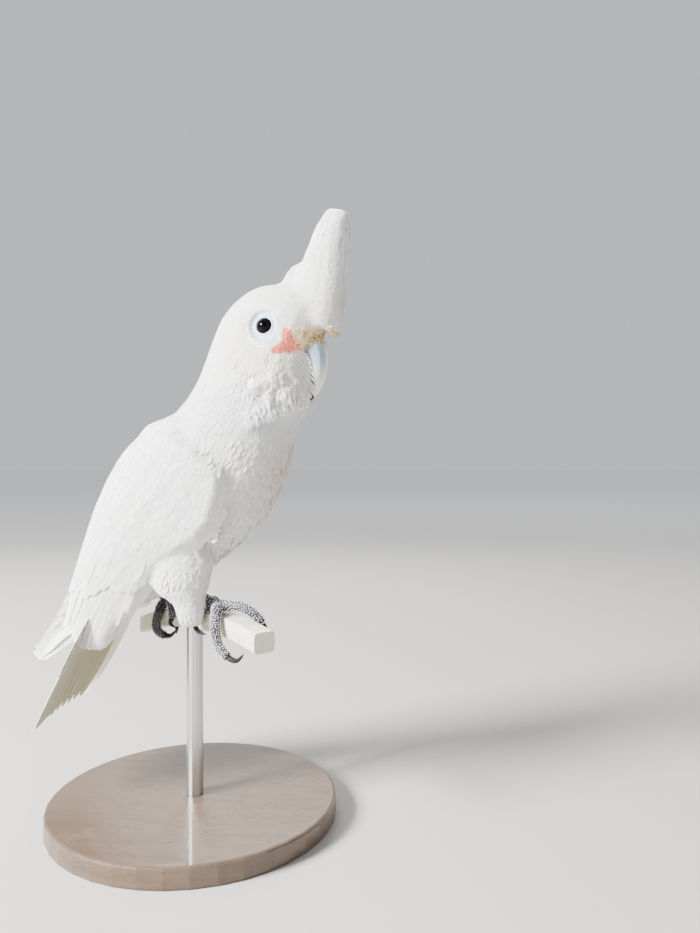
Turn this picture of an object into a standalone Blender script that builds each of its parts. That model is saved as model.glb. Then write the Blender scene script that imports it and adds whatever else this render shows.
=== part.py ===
"""A Goffin's cockatoo at life size, gripping a short painted bar on a plain display stand.

The bird faces +X, its left side is +Y and +Z is up. The origin is the centre of the
base's underside. Heights in the bird's own tables are measured from the datum, a point
midway between the feet, DATUM above the table. All sizes are in metres.
"""
import math

import bmesh
import bpy
from mathutils import Matrix, Vector

# Fits
GAP = 0.0003  # clearance between touching pieces
SWELL = 0.0004  # how far a cutter stands out from the piece that it copies

# Stand
DATUM = 0.115  # the datum's height above the table
BASE_RADIUS = 0.085
BASE_THICKNESS = 0.012
BASE_BEVEL = 0.0015
BASE_SIDES = 40
ROD_RADIUS = 0.005
ROD_SIDES = 14

# Perch: an arched bar that runs obliquely under the feet
BAR_WIDTH = 0.014
BAR_DEPTH = 0.0115
BAR_ARCH = 0.235  # radius of the arch
BAR_HEADING = math.radians(-39.0)  # direction of the bar, from the way the bird faces
BAR_CREST = 0.022  # distance along the bar from the datum to the top of the arch
BAR_CREST_HEIGHT = 0.0103  # height of the top of the arch above the datum
BAR_START = -0.056
BAR_END = 0.070
BAR_ROWS = 10
BAR_SIDES = 12
BAR_SQUARENESS = 0.35  # exponent of the section, 1 is an ellipse and 0 a rectangle

# Head and neck: the head is turned to the bird's right about the neck
NECK_AXIS_X = 0.035
HEAD_TURN = math.radians(-10.0)
TURN_FROM = 0.112
TURN_TO = 0.150

# Body rows, from the root of the tail to the crown: the back's x and height,
# the front's x and height, and half the width
BODY_ROWS = (
    (-0.0660, 0.0180, -0.0470, 0.0070, 0.0125),
    (-0.0650, 0.0370, -0.0310, 0.0115, 0.0185),
    (-0.0600, 0.0570, -0.0165, 0.0170, 0.0250),
    (-0.0515, 0.0760, 0.0010, 0.0270, 0.0295),
    (-0.0415, 0.0925, 0.0215, 0.0425, 0.0325),
    (-0.0300, 0.1065, 0.0420, 0.0610, 0.0335),
    (-0.0165, 0.1200, 0.0545, 0.0830, 0.0330),
    (-0.0045, 0.1335, 0.0605, 0.1060, 0.0305),
    (0.0025, 0.1455, 0.0645, 0.1235, 0.0262),
    (0.0075, 0.1575, 0.0680, 0.1400, 0.0238),
    (0.0125, 0.1705, 0.0735, 0.1560, 0.0228),
    (0.0190, 0.1835, 0.0800, 0.1710, 0.0218),
    (0.0290, 0.1935, 0.0835, 0.1845, 0.0180),
    (0.0405, 0.1995, 0.0815, 0.1935, 0.0120),
    (0.0520, 0.2005, 0.0740, 0.1985, 0.0050),
)
BODY_STEPS = 37
BODY_SIDES = 20
BODY_SQUARENESS = 0.94  # exponent of the sections, 1 is an ellipse

# Swellings of the body: centre's x, y and height, radius, and how far it stands out
CHEEK = (0.0600, 0.0150, 0.1430, 0.0150, 0.0045)
THROAT = (0.0640, 0.0000, 0.1330, 0.0120, 0.0030)
EYE_DISH = (0.0520, 0.0220, 0.1732, 0.0085, -0.0020)

# Thin cuts that part the body: a point's x and height, and the slope's rise over run
NECK_CUT = (0.0300, 0.1250, -0.44)
HEAD_CUT = (0.0380, 0.1440, -0.50)

# Eyes
EYE_PLACE = (0.0520, 0.0155, 0.1732)
EYE_RADIUS = 0.0062
EYE_SIDES = 12
EYE_RINGS = 8

# Crest rows, from the forehead up: back's x and height, front's x and height, half thickness
PLUME_ROWS = (
    (0.0600, 0.1840, 0.0885, 0.1700, 0.0120),
    (0.0625, 0.1960, 0.0925, 0.1830, 0.0132),
    (0.0670, 0.2080, 0.0948, 0.2000, 0.0130),
    (0.0718, 0.2200, 0.0958, 0.2160, 0.0117),
    (0.0770, 0.2325, 0.0966, 0.2300, 0.0092),
    (0.0835, 0.2425, 0.0970, 0.2395, 0.0055),
)
LOBE_ROWS = (
    (0.0500, 0.1900, 0.0720, 0.1880, 0.0095),
    (0.0550, 0.2000, 0.0735, 0.1990, 0.0085),
    (0.0583, 0.2070, 0.0735, 0.2075, 0.0065),
    (0.0620, 0.2115, 0.0710, 0.2125, 0.0030),
)
PLUME_STEPS = 11
LOBE_STEPS = 6
PLUME_SIDES = 14
PLUME_SQUARENESS = 0.85
LOBE_SQUARENESS = 0.90

# Bill rows, from the root to the tip: outer x and height, inner x and height, half width
UPPER_BILL_ROWS = (
    (0.0725, 0.1715, 0.0635, 0.1580, 0.0080),
    (0.0800, 0.1680, 0.0690, 0.1555, 0.0083),
    (0.0830, 0.1610, 0.0720, 0.1525, 0.0078),
    (0.0834, 0.1535, 0.0737, 0.1485, 0.0067),
    (0.0817, 0.1455, 0.0745, 0.1437, 0.0052),
    (0.0785, 0.1388, 0.0741, 0.1397, 0.0033),
    (0.0745, 0.1340, 0.0734, 0.1358, 0.0012),
)
LOWER_BILL_ROWS = (
    (0.0590, 0.1500, 0.0550, 0.1400, 0.0068),
    (0.0650, 0.1485, 0.0630, 0.1375, 0.0066),
    (0.0695, 0.1468, 0.0685, 0.1382, 0.0055),
    (0.0722, 0.1440, 0.0718, 0.1402, 0.0030),
)
BILL_STEPS = 12
LOWER_BILL_STEPS = 6
BILL_SIDES = 12
BILL_SQUARENESS = 0.90

# Wing rows, from the shoulder to the tip: the upper edge's x and height, the lower edge's
# x and height, the bulge out from the middle, and how far out the upper edge lies
WING_ROWS = (
    (-0.0060, 0.1275, 0.0200, 0.1060, 0.0235, 0.0020),
    (-0.0215, 0.1200, 0.0330, 0.0885, 0.0365, 0.0020),
    (-0.0380, 0.1070, 0.0335, 0.0700, 0.0385, 0.0020),
    (-0.0490, 0.0915, 0.0265, 0.0530, 0.0390, 0.0020),
    (-0.0575, 0.0740, 0.0100, 0.0440, 0.0375, 0.0020),
    (-0.0645, 0.0550, -0.0060, 0.0360, 0.0345, 0.0020),
)
RIGHT_TIP_ROWS = (
    (-0.0710, 0.0360, -0.0165, 0.0220, 0.0315, 0.0020),
    (-0.0780, 0.0150, -0.0270, 0.0120, 0.0280, 0.0040),
    (-0.0765, 0.0020, -0.0390, 0.0010, 0.0255, 0.0080),
    (-0.0720, -0.0080, -0.0480, -0.0100, 0.0235, 0.0130),
    (-0.0650, -0.0150, -0.0560, -0.0160, 0.0225, 0.0170),
)
LEFT_TIP_ROWS = (
    (-0.0725, 0.0360, -0.0165, 0.0220, 0.0315, 0.0020),
    (-0.0865, 0.0180, -0.0340, 0.0100, 0.0280, 0.0035),
    (-0.1010, 0.0010, -0.0640, -0.0010, 0.0240, 0.0060),
    (-0.1120, -0.0150, -0.0940, -0.0130, 0.0205, 0.0090),
    (-0.1150, -0.0280, -0.1060, -0.0280, 0.0185, 0.0110),
)
WING_STEPS = 20
WING_SIDES = 16
WING_SQUARENESS = 0.85
WING_WRAP = math.radians(118.0)  # how far round the flank the lower edge reaches
WING_THICKNESS = 0.0060
WING_FULLNESS = 0.7  # exponent of the thickness from edge to edge
WING_EDGE = 0.0016  # thickness at the feathers' edges
WING_LEAST_SHARE = 0.25  # least share of the thickness that is measured sideways
WING_MEETING = 0.0008  # least distance of a wing from the middle of the back
WRIST_THICKNESS = 0.0050  # thickness of the rounded bend at the front of the wing
WRIST_ROWS = 4  # rows that the bend takes

# Tail: a slightly opened fan of twelve feathers
TAIL_ROOT = (-0.0540, 0.0160)
TAIL_DROP = math.radians(62.5)  # below the horizontal
TAIL_ROLL = math.radians(8.0)  # raises the left side
TAIL_YAW = math.radians(5.0)  # swings the tip towards the bird's left
TAIL_LENGTH = 0.0910
TAIL_ROOT_HALF = 0.0160
TAIL_TIP_HALF = 0.0390
TAIL_FEATHERS = 12
TAIL_NOTCH = 0.0022
TAIL_ROUNDING = 0.0070
TAIL_THICKNESS = 0.0036
TAIL_TIP_THICKNESS = 0.0012
TAIL_SPREAD = 0.4  # exponent of the width along the tail, 1 is a straight-sided fan
TAIL_ARCH = 0.0045  # how far the sides drop below the middle at the tip
TAIL_ROOT_ARCH = 0.4  # share of the arch at the root
TAIL_FOLD = 0.0140  # how far more the left side drops at the root
TAIL_SECTION_SIDES = 8

# Legs: rows from the hip down to the trouser's hem, as the front's x, the back's x,
# height, distance out from the middle, and half the width
RIGHT_LEG_ROWS = (
    (0.0150, -0.0180, 0.0560, 0.0190, 0.0110),
    (0.0190, -0.0205, 0.0440, 0.0205, 0.0135),
    (0.0175, -0.0180, 0.0330, 0.0220, 0.0130),
    (0.0158, -0.0158, 0.0245, 0.0235, 0.0110),
    (0.0150, -0.0115, 0.0198, 0.0240, 0.0092),
    (0.0146, -0.0045, 0.0168, 0.0245, 0.0078),
    (0.0142, -0.0022, 0.0115, 0.0250, 0.0068),
    (0.0138, -0.0010, 0.0065, 0.0255, 0.0058),
    (0.0118, 0.0002, 0.0028, 0.0255, 0.0036),
)
LEFT_LEG_ROWS = (
    (0.0130, -0.0200, 0.0560, 0.0190, 0.0110),
    (0.0120, -0.0270, 0.0440, 0.0205, 0.0135),
    (0.0030, -0.0330, 0.0340, 0.0215, 0.0130),
    (-0.0080, -0.0370, 0.0265, 0.0215, 0.0110),
    (-0.0160, -0.0380, 0.0200, 0.0210, 0.0085),
    (-0.0205, -0.0370, 0.0155, 0.0205, 0.0060),
    (-0.0230, -0.0340, 0.0125, 0.0205, 0.0035),
)
LEG_STEPS = 13
LEG_SIDES = 14

# Toes, in the bar's own directions: along it, across it (+ is its inner side) and above
# its top. The last two points of each are the claw's.
RIGHT_PALM = (0.0250, -0.0005, 0.0032)
RIGHT_ANKLE = (-0.0040, -0.0235, 0.0290)
RIGHT_TOES = (
    ((0.0150, 0.0040, 0.0040), (0.0065, 0.0078, 0.0028), (0.0010, 0.0108, -0.0020),
     (-0.0010, 0.0118, -0.0065), (0.0010, 0.0112, -0.0110)),
    ((0.0335, 0.0003, 0.0046), (0.0430, 0.0030, 0.0056), (0.0500, 0.0068, 0.0030),
     (0.0540, 0.0102, -0.0020), (0.0560, 0.0117, -0.0070), (0.0555, 0.0110, -0.0115)),
    ((0.0330, -0.0058, 0.0036), (0.0385, -0.0105, -0.0010), (0.0405, -0.0116, -0.0080),
     (0.0440, -0.0116, -0.0145), (0.0520, -0.0112, -0.0180), (0.0600, -0.0108, -0.0175),
     (0.0655, -0.0104, -0.0118)),
    ((0.0220, -0.0062, 0.0022), (0.0196, -0.0104, -0.0025), (0.0193, -0.0114, -0.0068),
     (0.0225, -0.0118, -0.0106), (0.0305, -0.0112, -0.0108)),
)
LEFT_PALM = (-0.0285, -0.0005, 0.0034)
LEFT_ANKLE = (-0.0350, 0.0205, 0.0205)
LEFT_TOES = (
    ((-0.0220, 0.0045, 0.0040), (-0.0185, 0.0092, 0.0018), (-0.0175, 0.0114, -0.0040),
     (-0.0175, 0.0112, -0.0088), (-0.0180, 0.0092, -0.0125)),
    ((-0.0355, 0.0040, 0.0045), (-0.0405, 0.0088, 0.0025), (-0.0425, 0.0116, -0.0035),
     (-0.0420, 0.0118, -0.0095), (-0.0405, 0.0112, -0.0140), (-0.0390, 0.0095, -0.0170)),
    ((-0.0275, -0.0068, 0.0030), (-0.0245, -0.0108, -0.0025), (-0.0260, -0.0117, -0.0085),
     (-0.0230, -0.0117, -0.0135), (-0.0155, -0.0113, -0.0160), (-0.0090, -0.0110, -0.0160),
     (-0.0030, -0.0106, -0.0120)),
    ((-0.0180, -0.0060, 0.0036), (-0.0080, -0.0102, -0.0005), (-0.0070, -0.0116, -0.0050),
     (-0.0085, -0.0118, -0.0090), (-0.0030, -0.0112, -0.0110)),
)
TOE_ROOT_RADIUS = 0.0036
TOE_TIP_RADIUS = 0.0027
TOE_SIDES = 7
CLAW_RADIUS = 0.0021
CLAW_TIP_RADIUS = 0.0004
CLAW_TAPER = 1.3  # exponent of the claw's taper
CLAW_STEPS = 4  # steps of the line that the claw takes
CLAW_SIDES = 6
TARSUS_RADIUS = 0.0036
TARSUS_STEPS = 5
TARSUS_SINK = 0.0012  # how far the shank runs down into the palm

LEFT = 1
RIGHT = -1
SIDE_NAMES = {LEFT: "left", RIGHT: "right"}


def clear_scene():
    """Removes the objects that the file opens with."""
    for item in list(bpy.data.objects):
        bpy.data.objects.remove(item, do_unlink=True)


def finish(name, colour, roughness, metallic=0.0):
    """A plain Principled material."""
    material = bpy.data.materials.new(name)
    material.use_nodes = True
    shader = material.node_tree.nodes["Principled BSDF"]
    shader.inputs["Base Color"].default_value = (*colour, 1.0)
    shader.inputs["Roughness"].default_value = roughness
    shader.inputs["Metallic"].default_value = metallic
    return material


def at(x, height, y=0.0):
    """A point from its x, its height above the datum and its y."""
    return Vector((x, y, DATUM + height))


def spread(rows, count):
    """Reads count rows at even steps from a Catmull-Rom curve through the given rows."""
    last = len(rows) - 1
    read = []
    for step in range(count):
        place = last * step / (count - 1)
        index = min(int(place), last - 1)
        t = place - index
        near = [rows[max(0, min(last, index + k))] for k in (-1, 0, 1, 2)]
        read.append(tuple(
            0.5 * (2 * b + (c - a) * t + (2 * a - 5 * b + 4 * c - d) * t**2
                   + (3 * b - a - 3 * c + d) * t**3)
            for a, b, c, d in zip(*near)
        ))
    return read


def signed_power(value, exponent):
    """A power that keeps the sign of its base."""
    return math.copysign(abs(value) ** exponent, value)


def turned(point):
    """Turns a point of the head about the neck, and eases the turn in up the neck."""
    height = point.z - DATUM
    share = max(0.0, min(1.0, (height - TURN_FROM) / (TURN_TO - TURN_FROM)))
    angle = HEAD_TURN * share * share * (3 - 2 * share)
    pivot = Vector((NECK_AXIS_X, 0, 0))
    return Matrix.Rotation(angle, 3, "Z") @ (point - pivot) + pivot


def add_object(name, mesh, material, smooth_angle=40.0):
    """Makes a bmesh an object, shaded smooth up to an angle."""
    bmesh.ops.recalc_face_normals(mesh, faces=mesh.faces)
    data = bpy.data.meshes.new(name)
    mesh.to_mesh(data)
    mesh.free()
    data.materials.append(material)
    data.shade_smooth()
    data.set_sharp_from_angle(angle=math.radians(smooth_angle))
    item = bpy.data.objects.new(name, data)
    bpy.context.collection.objects.link(item)
    return item


def loft(rows, sides, place):
    """Extrudes a ring of edges along the rows and closes both ends.

    place(row, turn) is the point at a turn, from 0 to 1, round the ring of a row.
    """
    mesh = bmesh.new()
    turn = mesh.verts.layers.float.new("turn")
    ring = bmesh.ops.create_circle(mesh, segments=sides, radius=1.0)["verts"]
    for vert in ring:
        vert[turn] = (math.atan2(vert.co.y, vert.co.x) / math.tau) % 1.0
        vert.co = place(rows[0], vert[turn])
    edges = list(mesh.edges)
    for row in rows[1:]:
        grown = bmesh.ops.extrude_edge_only(mesh, edges=edges)["geom"]
        fresh = {part for part in grown if isinstance(part, bmesh.types.BMVert)}
        for vert in fresh:
            vert.co = place(row, vert[turn])
        edges = [edge for edge in mesh.edges if fresh.issuperset(edge.verts)]
    bmesh.ops.holes_fill(mesh, edges=mesh.edges, sides=0)
    return mesh


def oval(row, turn, squareness):
    """A point of an oval section from a row of back, front and half width."""
    back_x, back_z, front_x, front_z, half = row
    forward = signed_power(math.cos(turn * math.tau), squareness)
    aside = signed_power(math.sin(turn * math.tau), squareness)
    x = (back_x + front_x) / 2 + forward * (front_x - back_x) / 2
    height = (back_z + front_z) / 2 + forward * (front_z - back_z) / 2
    return at(x, height, aside * half)


def tube(points, radii, sides, first=None, last=None):
    """A tapered tube along points, with the sections square to its run.

    first and last are the run's directions at its two ends, where something meets them.
    """
    rows = []
    up = Vector((0, 0, 1))
    across = None
    for index, point in enumerate(points):
        before = points[max(index - 1, 0)]
        after = points[min(index + 1, len(points) - 1)]
        along = (after - before).normalized()
        if index == 0 and first:
            along = first
        if index == len(points) - 1 and last:
            along = last
        across = (across or along.cross(up)).copy()
        across = (across - along * across.dot(along)).normalized()
        rows.append((point, across.copy(), along.cross(across), radii[index]))

    def place(row, turn):
        centre, side, lift, radius = row
        angle = turn * math.tau
        return centre + radius * (side * math.cos(angle) + lift * math.sin(angle))

    return loft(rows, sides, place)


def cutter_from(item, name, amount=SWELL):
    """A hidden copy of a piece that stands out from it by the clearance."""
    copy = item.copy()
    copy.name = name
    swell = copy.modifiers.new("swell", "DISPLACE")
    swell.strength = amount
    swell.mid_level = 0.0
    copy.hide_render = True
    copy.display_type = "WIRE"
    bpy.context.collection.objects.link(copy)
    return copy


def combine(item, other, operation="DIFFERENCE"):
    """Adds a Boolean of another object to a piece."""
    boolean = item.modifiers.new("with " + other.name, "BOOLEAN")
    boolean.operation = operation
    boolean.solver = "EXACT"
    boolean.object = other


def as_tool(item):
    """Hides an object that only shapes others."""
    item.hide_render = True
    item.display_type = "WIRE"
    return item


def swelling(point, bump, side):
    """How far a swelling or dish of the body moves a point."""
    x, y, height, radius, stand = bump
    centre = at(x, height, side * y)
    axis = at(NECK_AXIS_X, height)
    away = (point - axis).normalized()
    return away * stand * math.exp(-((point - centre).length / radius) ** 2)


def body_point(row, turn):
    """A point of the body's surface."""
    point = oval(row, turn, BODY_SQUARENESS)
    moved = point.copy()
    for side in (LEFT, RIGHT):
        moved += swelling(point, CHEEK, side)
        moved += swelling(point, EYE_DISH, side)
    moved += swelling(point, THROAT, LEFT)
    return turned(moved)


def slab_between(name, form, material, above=None, below=None):
    """The length of the body between two sloping cuts, each half a gap wide."""
    mesh = bmesh.new()
    mesh.from_mesh(form.data)
    for cut, keep in ((above, 1), (below, -1)):
        if cut is None:
            continue
        x, height, slope = cut
        normal = Vector((-slope, 0, 1)).normalized()
        point = at(x, height) + normal * keep * GAP / 2
        parts = mesh.verts[:] + mesh.edges[:] + mesh.faces[:]
        made = bmesh.ops.bisect_plane(
            mesh, geom=parts, plane_co=point, plane_no=normal,
            clear_inner=keep > 0, clear_outer=keep < 0)
        rim = [part for part in made["geom_cut"] if isinstance(part, bmesh.types.BMEdge)]
        bmesh.ops.contextual_create(mesh, geom=rim)
    return add_object(name, mesh, material)


def make_body(white):
    """The body in one, which shapes its neighbours, and its trunk, neck and head."""
    mesh = loft(spread(BODY_ROWS, BODY_STEPS), BODY_SIDES, body_point)
    form = as_tool(add_object("body_form", mesh, white))
    trunk = slab_between("trunk", form, white, below=NECK_CUT)
    neck = slab_between("neck", form, white, above=NECK_CUT, below=HEAD_CUT)
    head = slab_between("head", form, white, above=HEAD_CUT)
    cutter = cutter_from(form, "body_cutter")
    return cutter, trunk, neck, head


def make_eyes(head, eye_black):
    """The eyeballs, each in its own socket."""
    for side, word in SIDE_NAMES.items():
        mesh = bmesh.new()
        bmesh.ops.create_uvsphere(
            mesh, u_segments=EYE_SIDES, v_segments=EYE_RINGS, radius=EYE_RADIUS)
        x, y, height = EYE_PLACE
        look = Matrix.Rotation(HEAD_TURN, 4, "Z") @ Matrix.Rotation(-side * math.pi / 2, 4, "X")
        bmesh.ops.transform(mesh, matrix=look, verts=mesh.verts)
        bmesh.ops.translate(mesh, vec=turned(at(x, height, side * y)), verts=mesh.verts)
        eye = add_object(f"eye_{word}", mesh, eye_black)
        combine(head, cutter_from(eye, f"socket_{word}"))


def turned_oval(squareness):
    """A section's point, carried round with the head."""
    return lambda row, turn: turned(oval(row, turn, squareness))


def make_crest(body_cutter, cream):
    """The raised crest: a tall front plume with a lobe of shorter feathers behind it."""
    plume = loft(spread(PLUME_ROWS, PLUME_STEPS), PLUME_SIDES, turned_oval(PLUME_SQUARENESS))
    lobe = loft(spread(LOBE_ROWS, LOBE_STEPS), PLUME_SIDES, turned_oval(LOBE_SQUARENESS))
    crest = add_object("crest", plume, cream)
    rear = as_tool(add_object("crest_lobe", lobe, cream))
    combine(crest, rear, "UNION")
    combine(crest, body_cutter)


def make_bill(head, horn):
    """The hooked upper bill and the short lower bill, let into the face."""
    section = turned_oval(BILL_SQUARENESS)
    upper_mesh = loft(spread(UPPER_BILL_ROWS, BILL_STEPS), BILL_SIDES, section)
    lower_mesh = loft(spread(LOWER_BILL_ROWS, LOWER_BILL_STEPS), BILL_SIDES, section)
    upper = add_object("beak_upper", upper_mesh, horn)
    lower = add_object("beak_lower", lower_mesh, horn)
    combine(lower, cutter_from(upper, "upper_bill_cutter"))
    combine(head, cutter_from(upper, "upper_bill_seat"))
    combine(head, cutter_from(lower, "lower_bill_seat"))


def wing_section(side):
    """The section of a wing: an outer arc from its upper edge to its lower one, and back."""

    def place(row, turn):
        top_x, top_z, low_x, low_z, bulge, inset, wrist = row
        outside = turn < 0.5
        v = 2 * turn if outside else 2 - 2 * turn
        first = math.asin(min(1.0, inset / bulge))
        angle = first + (WING_WRAP - first) * v
        angles = (first, angle, WING_WRAP)
        reach = [signed_power(math.cos(bend), WING_SQUARENESS) for bend in angles]
        share = (reach[0] - reach[1]) / (reach[0] - reach[2])
        edge = WING_EDGE + (wrist - WING_EDGE) * v**3
        thick = edge + (WING_THICKNESS - edge) * math.sin(math.pi * v) ** WING_FULLNESS
        out = bulge * math.sin(angle) ** WING_SQUARENESS
        x = top_x + (low_x - top_x) * share
        height = top_z + (low_z - top_z) * share
        if not outside or v in (0.0, 1.0):
            out -= thick * max(WING_LEAST_SHARE, math.sin(angle))
            chord = Vector((low_x - top_x, low_z - top_z)).normalized()
            x += chord.x * thick * math.cos(angle)
            height += chord.y * thick * math.cos(angle)
        return at(x, height, side * max(out, WING_MEETING))

    return place


def make_wing(side, tip_rows, body_cutter, white):
    """A folded wing, which lies along the flank and meets the other over the back."""
    word = SIDE_NAMES[side]
    rows = []
    for index, row in enumerate(WING_ROWS + tip_rows):
        rows.append((*row, WRIST_THICKNESS if index < WRIST_ROWS else WING_EDGE))
    mesh = loft(spread(rows, WING_STEPS), WING_SIDES, wing_section(side))
    wing = add_object(f"wing_{word}", mesh, white)
    combine(wing, body_cutter)
    return wing


def make_tail(body_cutter, wings, yellowish):
    """The tail: a flat fan whose end is notched between the feathers' round tips."""
    columns = 2 * TAIL_FEATHERS + 1
    rows = []
    for column in range(columns):
        side = 2 * column / (columns - 1) - 1
        notch = TAIL_NOTCH if column % 2 == 0 else 0.0
        rows.append((side, TAIL_LENGTH - TAIL_ROUNDING * side * side - notch))

    def place(row, turn):
        side, length = row
        upper = turn < 0.5
        along = 2 * turn if upper else 2 - 2 * turn
        half = TAIL_ROOT_HALF + (TAIL_TIP_HALF - TAIL_ROOT_HALF) * along**TAIL_SPREAD
        thick = TAIL_THICKNESS + (TAIL_TIP_THICKNESS - TAIL_THICKNESS) * along
        bend = TAIL_ROOT_ARCH + (1 - TAIL_ROOT_ARCH) * along
        lift = thick / 2 if upper else -thick / 2
        fold = TAIL_FOLD * max(side, 0.0) ** 2 * (1 - along)
        drop = TAIL_ARCH * side * side * bend + fold
        return Vector((-length * along, half * side, lift - drop))

    mesh = loft(rows, TAIL_SECTION_SIDES, place)
    bmesh.ops.triangulate(mesh, faces=mesh.faces)
    turn = (Matrix.Translation(at(*TAIL_ROOT)) @ Matrix.Rotation(-TAIL_YAW, 4, "Z")
            @ Matrix.Rotation(-TAIL_DROP, 4, "Y") @ Matrix.Rotation(TAIL_ROLL, 4, "X"))
    bmesh.ops.transform(mesh, matrix=turn, verts=mesh.verts)
    tail = add_object("tail", mesh, yellowish)
    combine(tail, body_cutter)
    for wing in wings:
        combine(tail, cutter_from(wing, wing.name + "_over_tail"))


def bar_height(along):
    """Height of the bar's top above the datum."""
    run = along - BAR_CREST
    return BAR_CREST_HEIGHT - (BAR_ARCH - math.sqrt(BAR_ARCH**2 - run * run))


def bar_point(along, across, above):
    """A point from its place along the bar, across it and above its top."""
    direction = Vector((math.cos(BAR_HEADING), math.sin(BAR_HEADING)))
    sideways = Vector((-direction.y, direction.x))
    place = direction * along + sideways * across
    return at(place.x, bar_height(along) + above, place.y)


def make_perch(paint):
    """The cut length of arched bar that the feet hold."""
    rows = [BAR_START + (BAR_END - BAR_START) * step / (BAR_ROWS - 1) for step in range(BAR_ROWS)]

    def place(along, turn):
        across = signed_power(math.cos(turn * math.tau), BAR_SQUARENESS) * BAR_WIDTH / 2
        above = (signed_power(math.sin(turn * math.tau), BAR_SQUARENESS) - 1) * BAR_DEPTH / 2
        return bar_point(along, across, above)

    return add_object("perch", loft(rows, BAR_SIDES, place), paint)


def make_stand(perch, stand_paint, steel):
    """The flat base and the rod that carries the perch."""
    mesh = bmesh.new()
    bmesh.ops.create_cone(mesh, cap_ends=True, segments=BASE_SIDES, radius1=BASE_RADIUS,
                          radius2=BASE_RADIUS, depth=BASE_THICKNESS)
    bmesh.ops.translate(mesh, vec=(0, 0, BASE_THICKNESS / 2), verts=mesh.verts)
    base = add_object("stand_base", mesh, stand_paint)
    bevel = base.modifiers.new("soft edges", "BEVEL")
    bevel.width = BASE_BEVEL
    bevel.segments = 2
    foot = BASE_THICKNESS + GAP
    top = DATUM + bar_height(0) - BAR_DEPTH / 2
    mesh = bmesh.new()
    bmesh.ops.create_cone(mesh, cap_ends=True, segments=ROD_SIDES, radius1=ROD_RADIUS,
                          radius2=ROD_RADIUS, depth=top - foot)
    bmesh.ops.translate(mesh, vec=(0, 0, (top + foot) / 2), verts=mesh.verts)
    rod = add_object("stand_rod", mesh, steel)
    combine(rod, cutter_from(perch, "perch_seat"))


def make_leg(side, rows, body_cutter, perch_cutter, white):
    """The feathered leg, from the hip to the hem of its trouser."""

    def place(row, turn):
        front, back, height, out, half = row
        angle = turn * math.tau
        x = (front + back) / 2 + math.cos(angle) * (front - back) / 2
        return at(x, height, side * out + math.sin(angle) * half)

    mesh = loft(spread(rows, LEG_STEPS), LEG_SIDES, place)
    leg = add_object(f"leg_{SIDE_NAMES[side]}", mesh, white)
    combine(leg, body_cutter)
    combine(leg, perch_cutter)
    return leg


def tapered(first, last, count, exponent=1.0):
    """Radii that run from first to last in count steps."""
    return [first + (last - first) * (k / (count - 1)) ** exponent for k in range(count)]


def make_shank(word, centre, ankle, scaly):
    """The bare shank, from the palm up to the ankle, which the toes join."""
    heel = at(ankle[0], ankle[2], ankle[1])
    low = centre - Vector((0, 0, TARSUS_SINK))
    line = spread([tuple(low), tuple((centre + heel) / 2), tuple(heel)], TARSUS_STEPS)
    points = [Vector(point) for point in line]
    mesh = tube(points, [TARSUS_RADIUS] * TARSUS_STEPS, TOE_SIDES)
    return add_object(f"foot_{word}", mesh, scaly)


def make_toe(name, line, scaly, claw_black):
    """A toe and its claw, parted by a gap, along one smooth line.

    name is the side and the toe's number. Returns the toe, which only shapes the foot,
    and the claw.
    """
    split = len(line) - CLAW_STEPS
    joint = (line[split] - line[split - 2]).normalized()
    radii = tapered(TOE_ROOT_RADIUS, TOE_TIP_RADIUS, split)
    mesh = tube(line[:split], radii, TOE_SIDES, last=joint)
    toe = as_tool(add_object(f"toe_{name}", mesh, scaly))
    claw_line = [line[split - 1] + joint * GAP] + line[split:]
    radii = tapered(CLAW_RADIUS, CLAW_TIP_RADIUS, len(claw_line), CLAW_TAPER)
    mesh = tube(claw_line, radii, CLAW_SIDES, first=joint)
    return toe, add_object(f"claw_{name}", mesh, claw_black)


def make_foot(side, palm, ankle, toes, leg, cutters, scaly, claw_black):
    """A foot with two toes to each side of the bar, its shank, and its claws.

    cutters are the solids that it is cut by, the perch's first.
    """
    word = SIDE_NAMES[side]
    centre = bar_point(*palm)
    foot = make_shank(word, centre, ankle, scaly)
    for number, route in enumerate(toes, start=1):
        points = [tuple(centre)] + [tuple(bar_point(*point)) for point in route]
        steps = 2 * len(points) - 1
        line = [Vector(point) for point in spread(points, steps)]
        toe, claw = make_toe(f"{word}_{number}", line, scaly, claw_black)
        combine(foot, toe, "UNION")
        combine(claw, cutters[0])
        if number == len(toes):
            combine(leg, cutter_from(claw, f"claw_{word}_bore"))
    for cutter in cutters:
        combine(foot, cutter)
    combine(leg, cutter_from(foot, f"foot_{word}_bore"))


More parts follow.
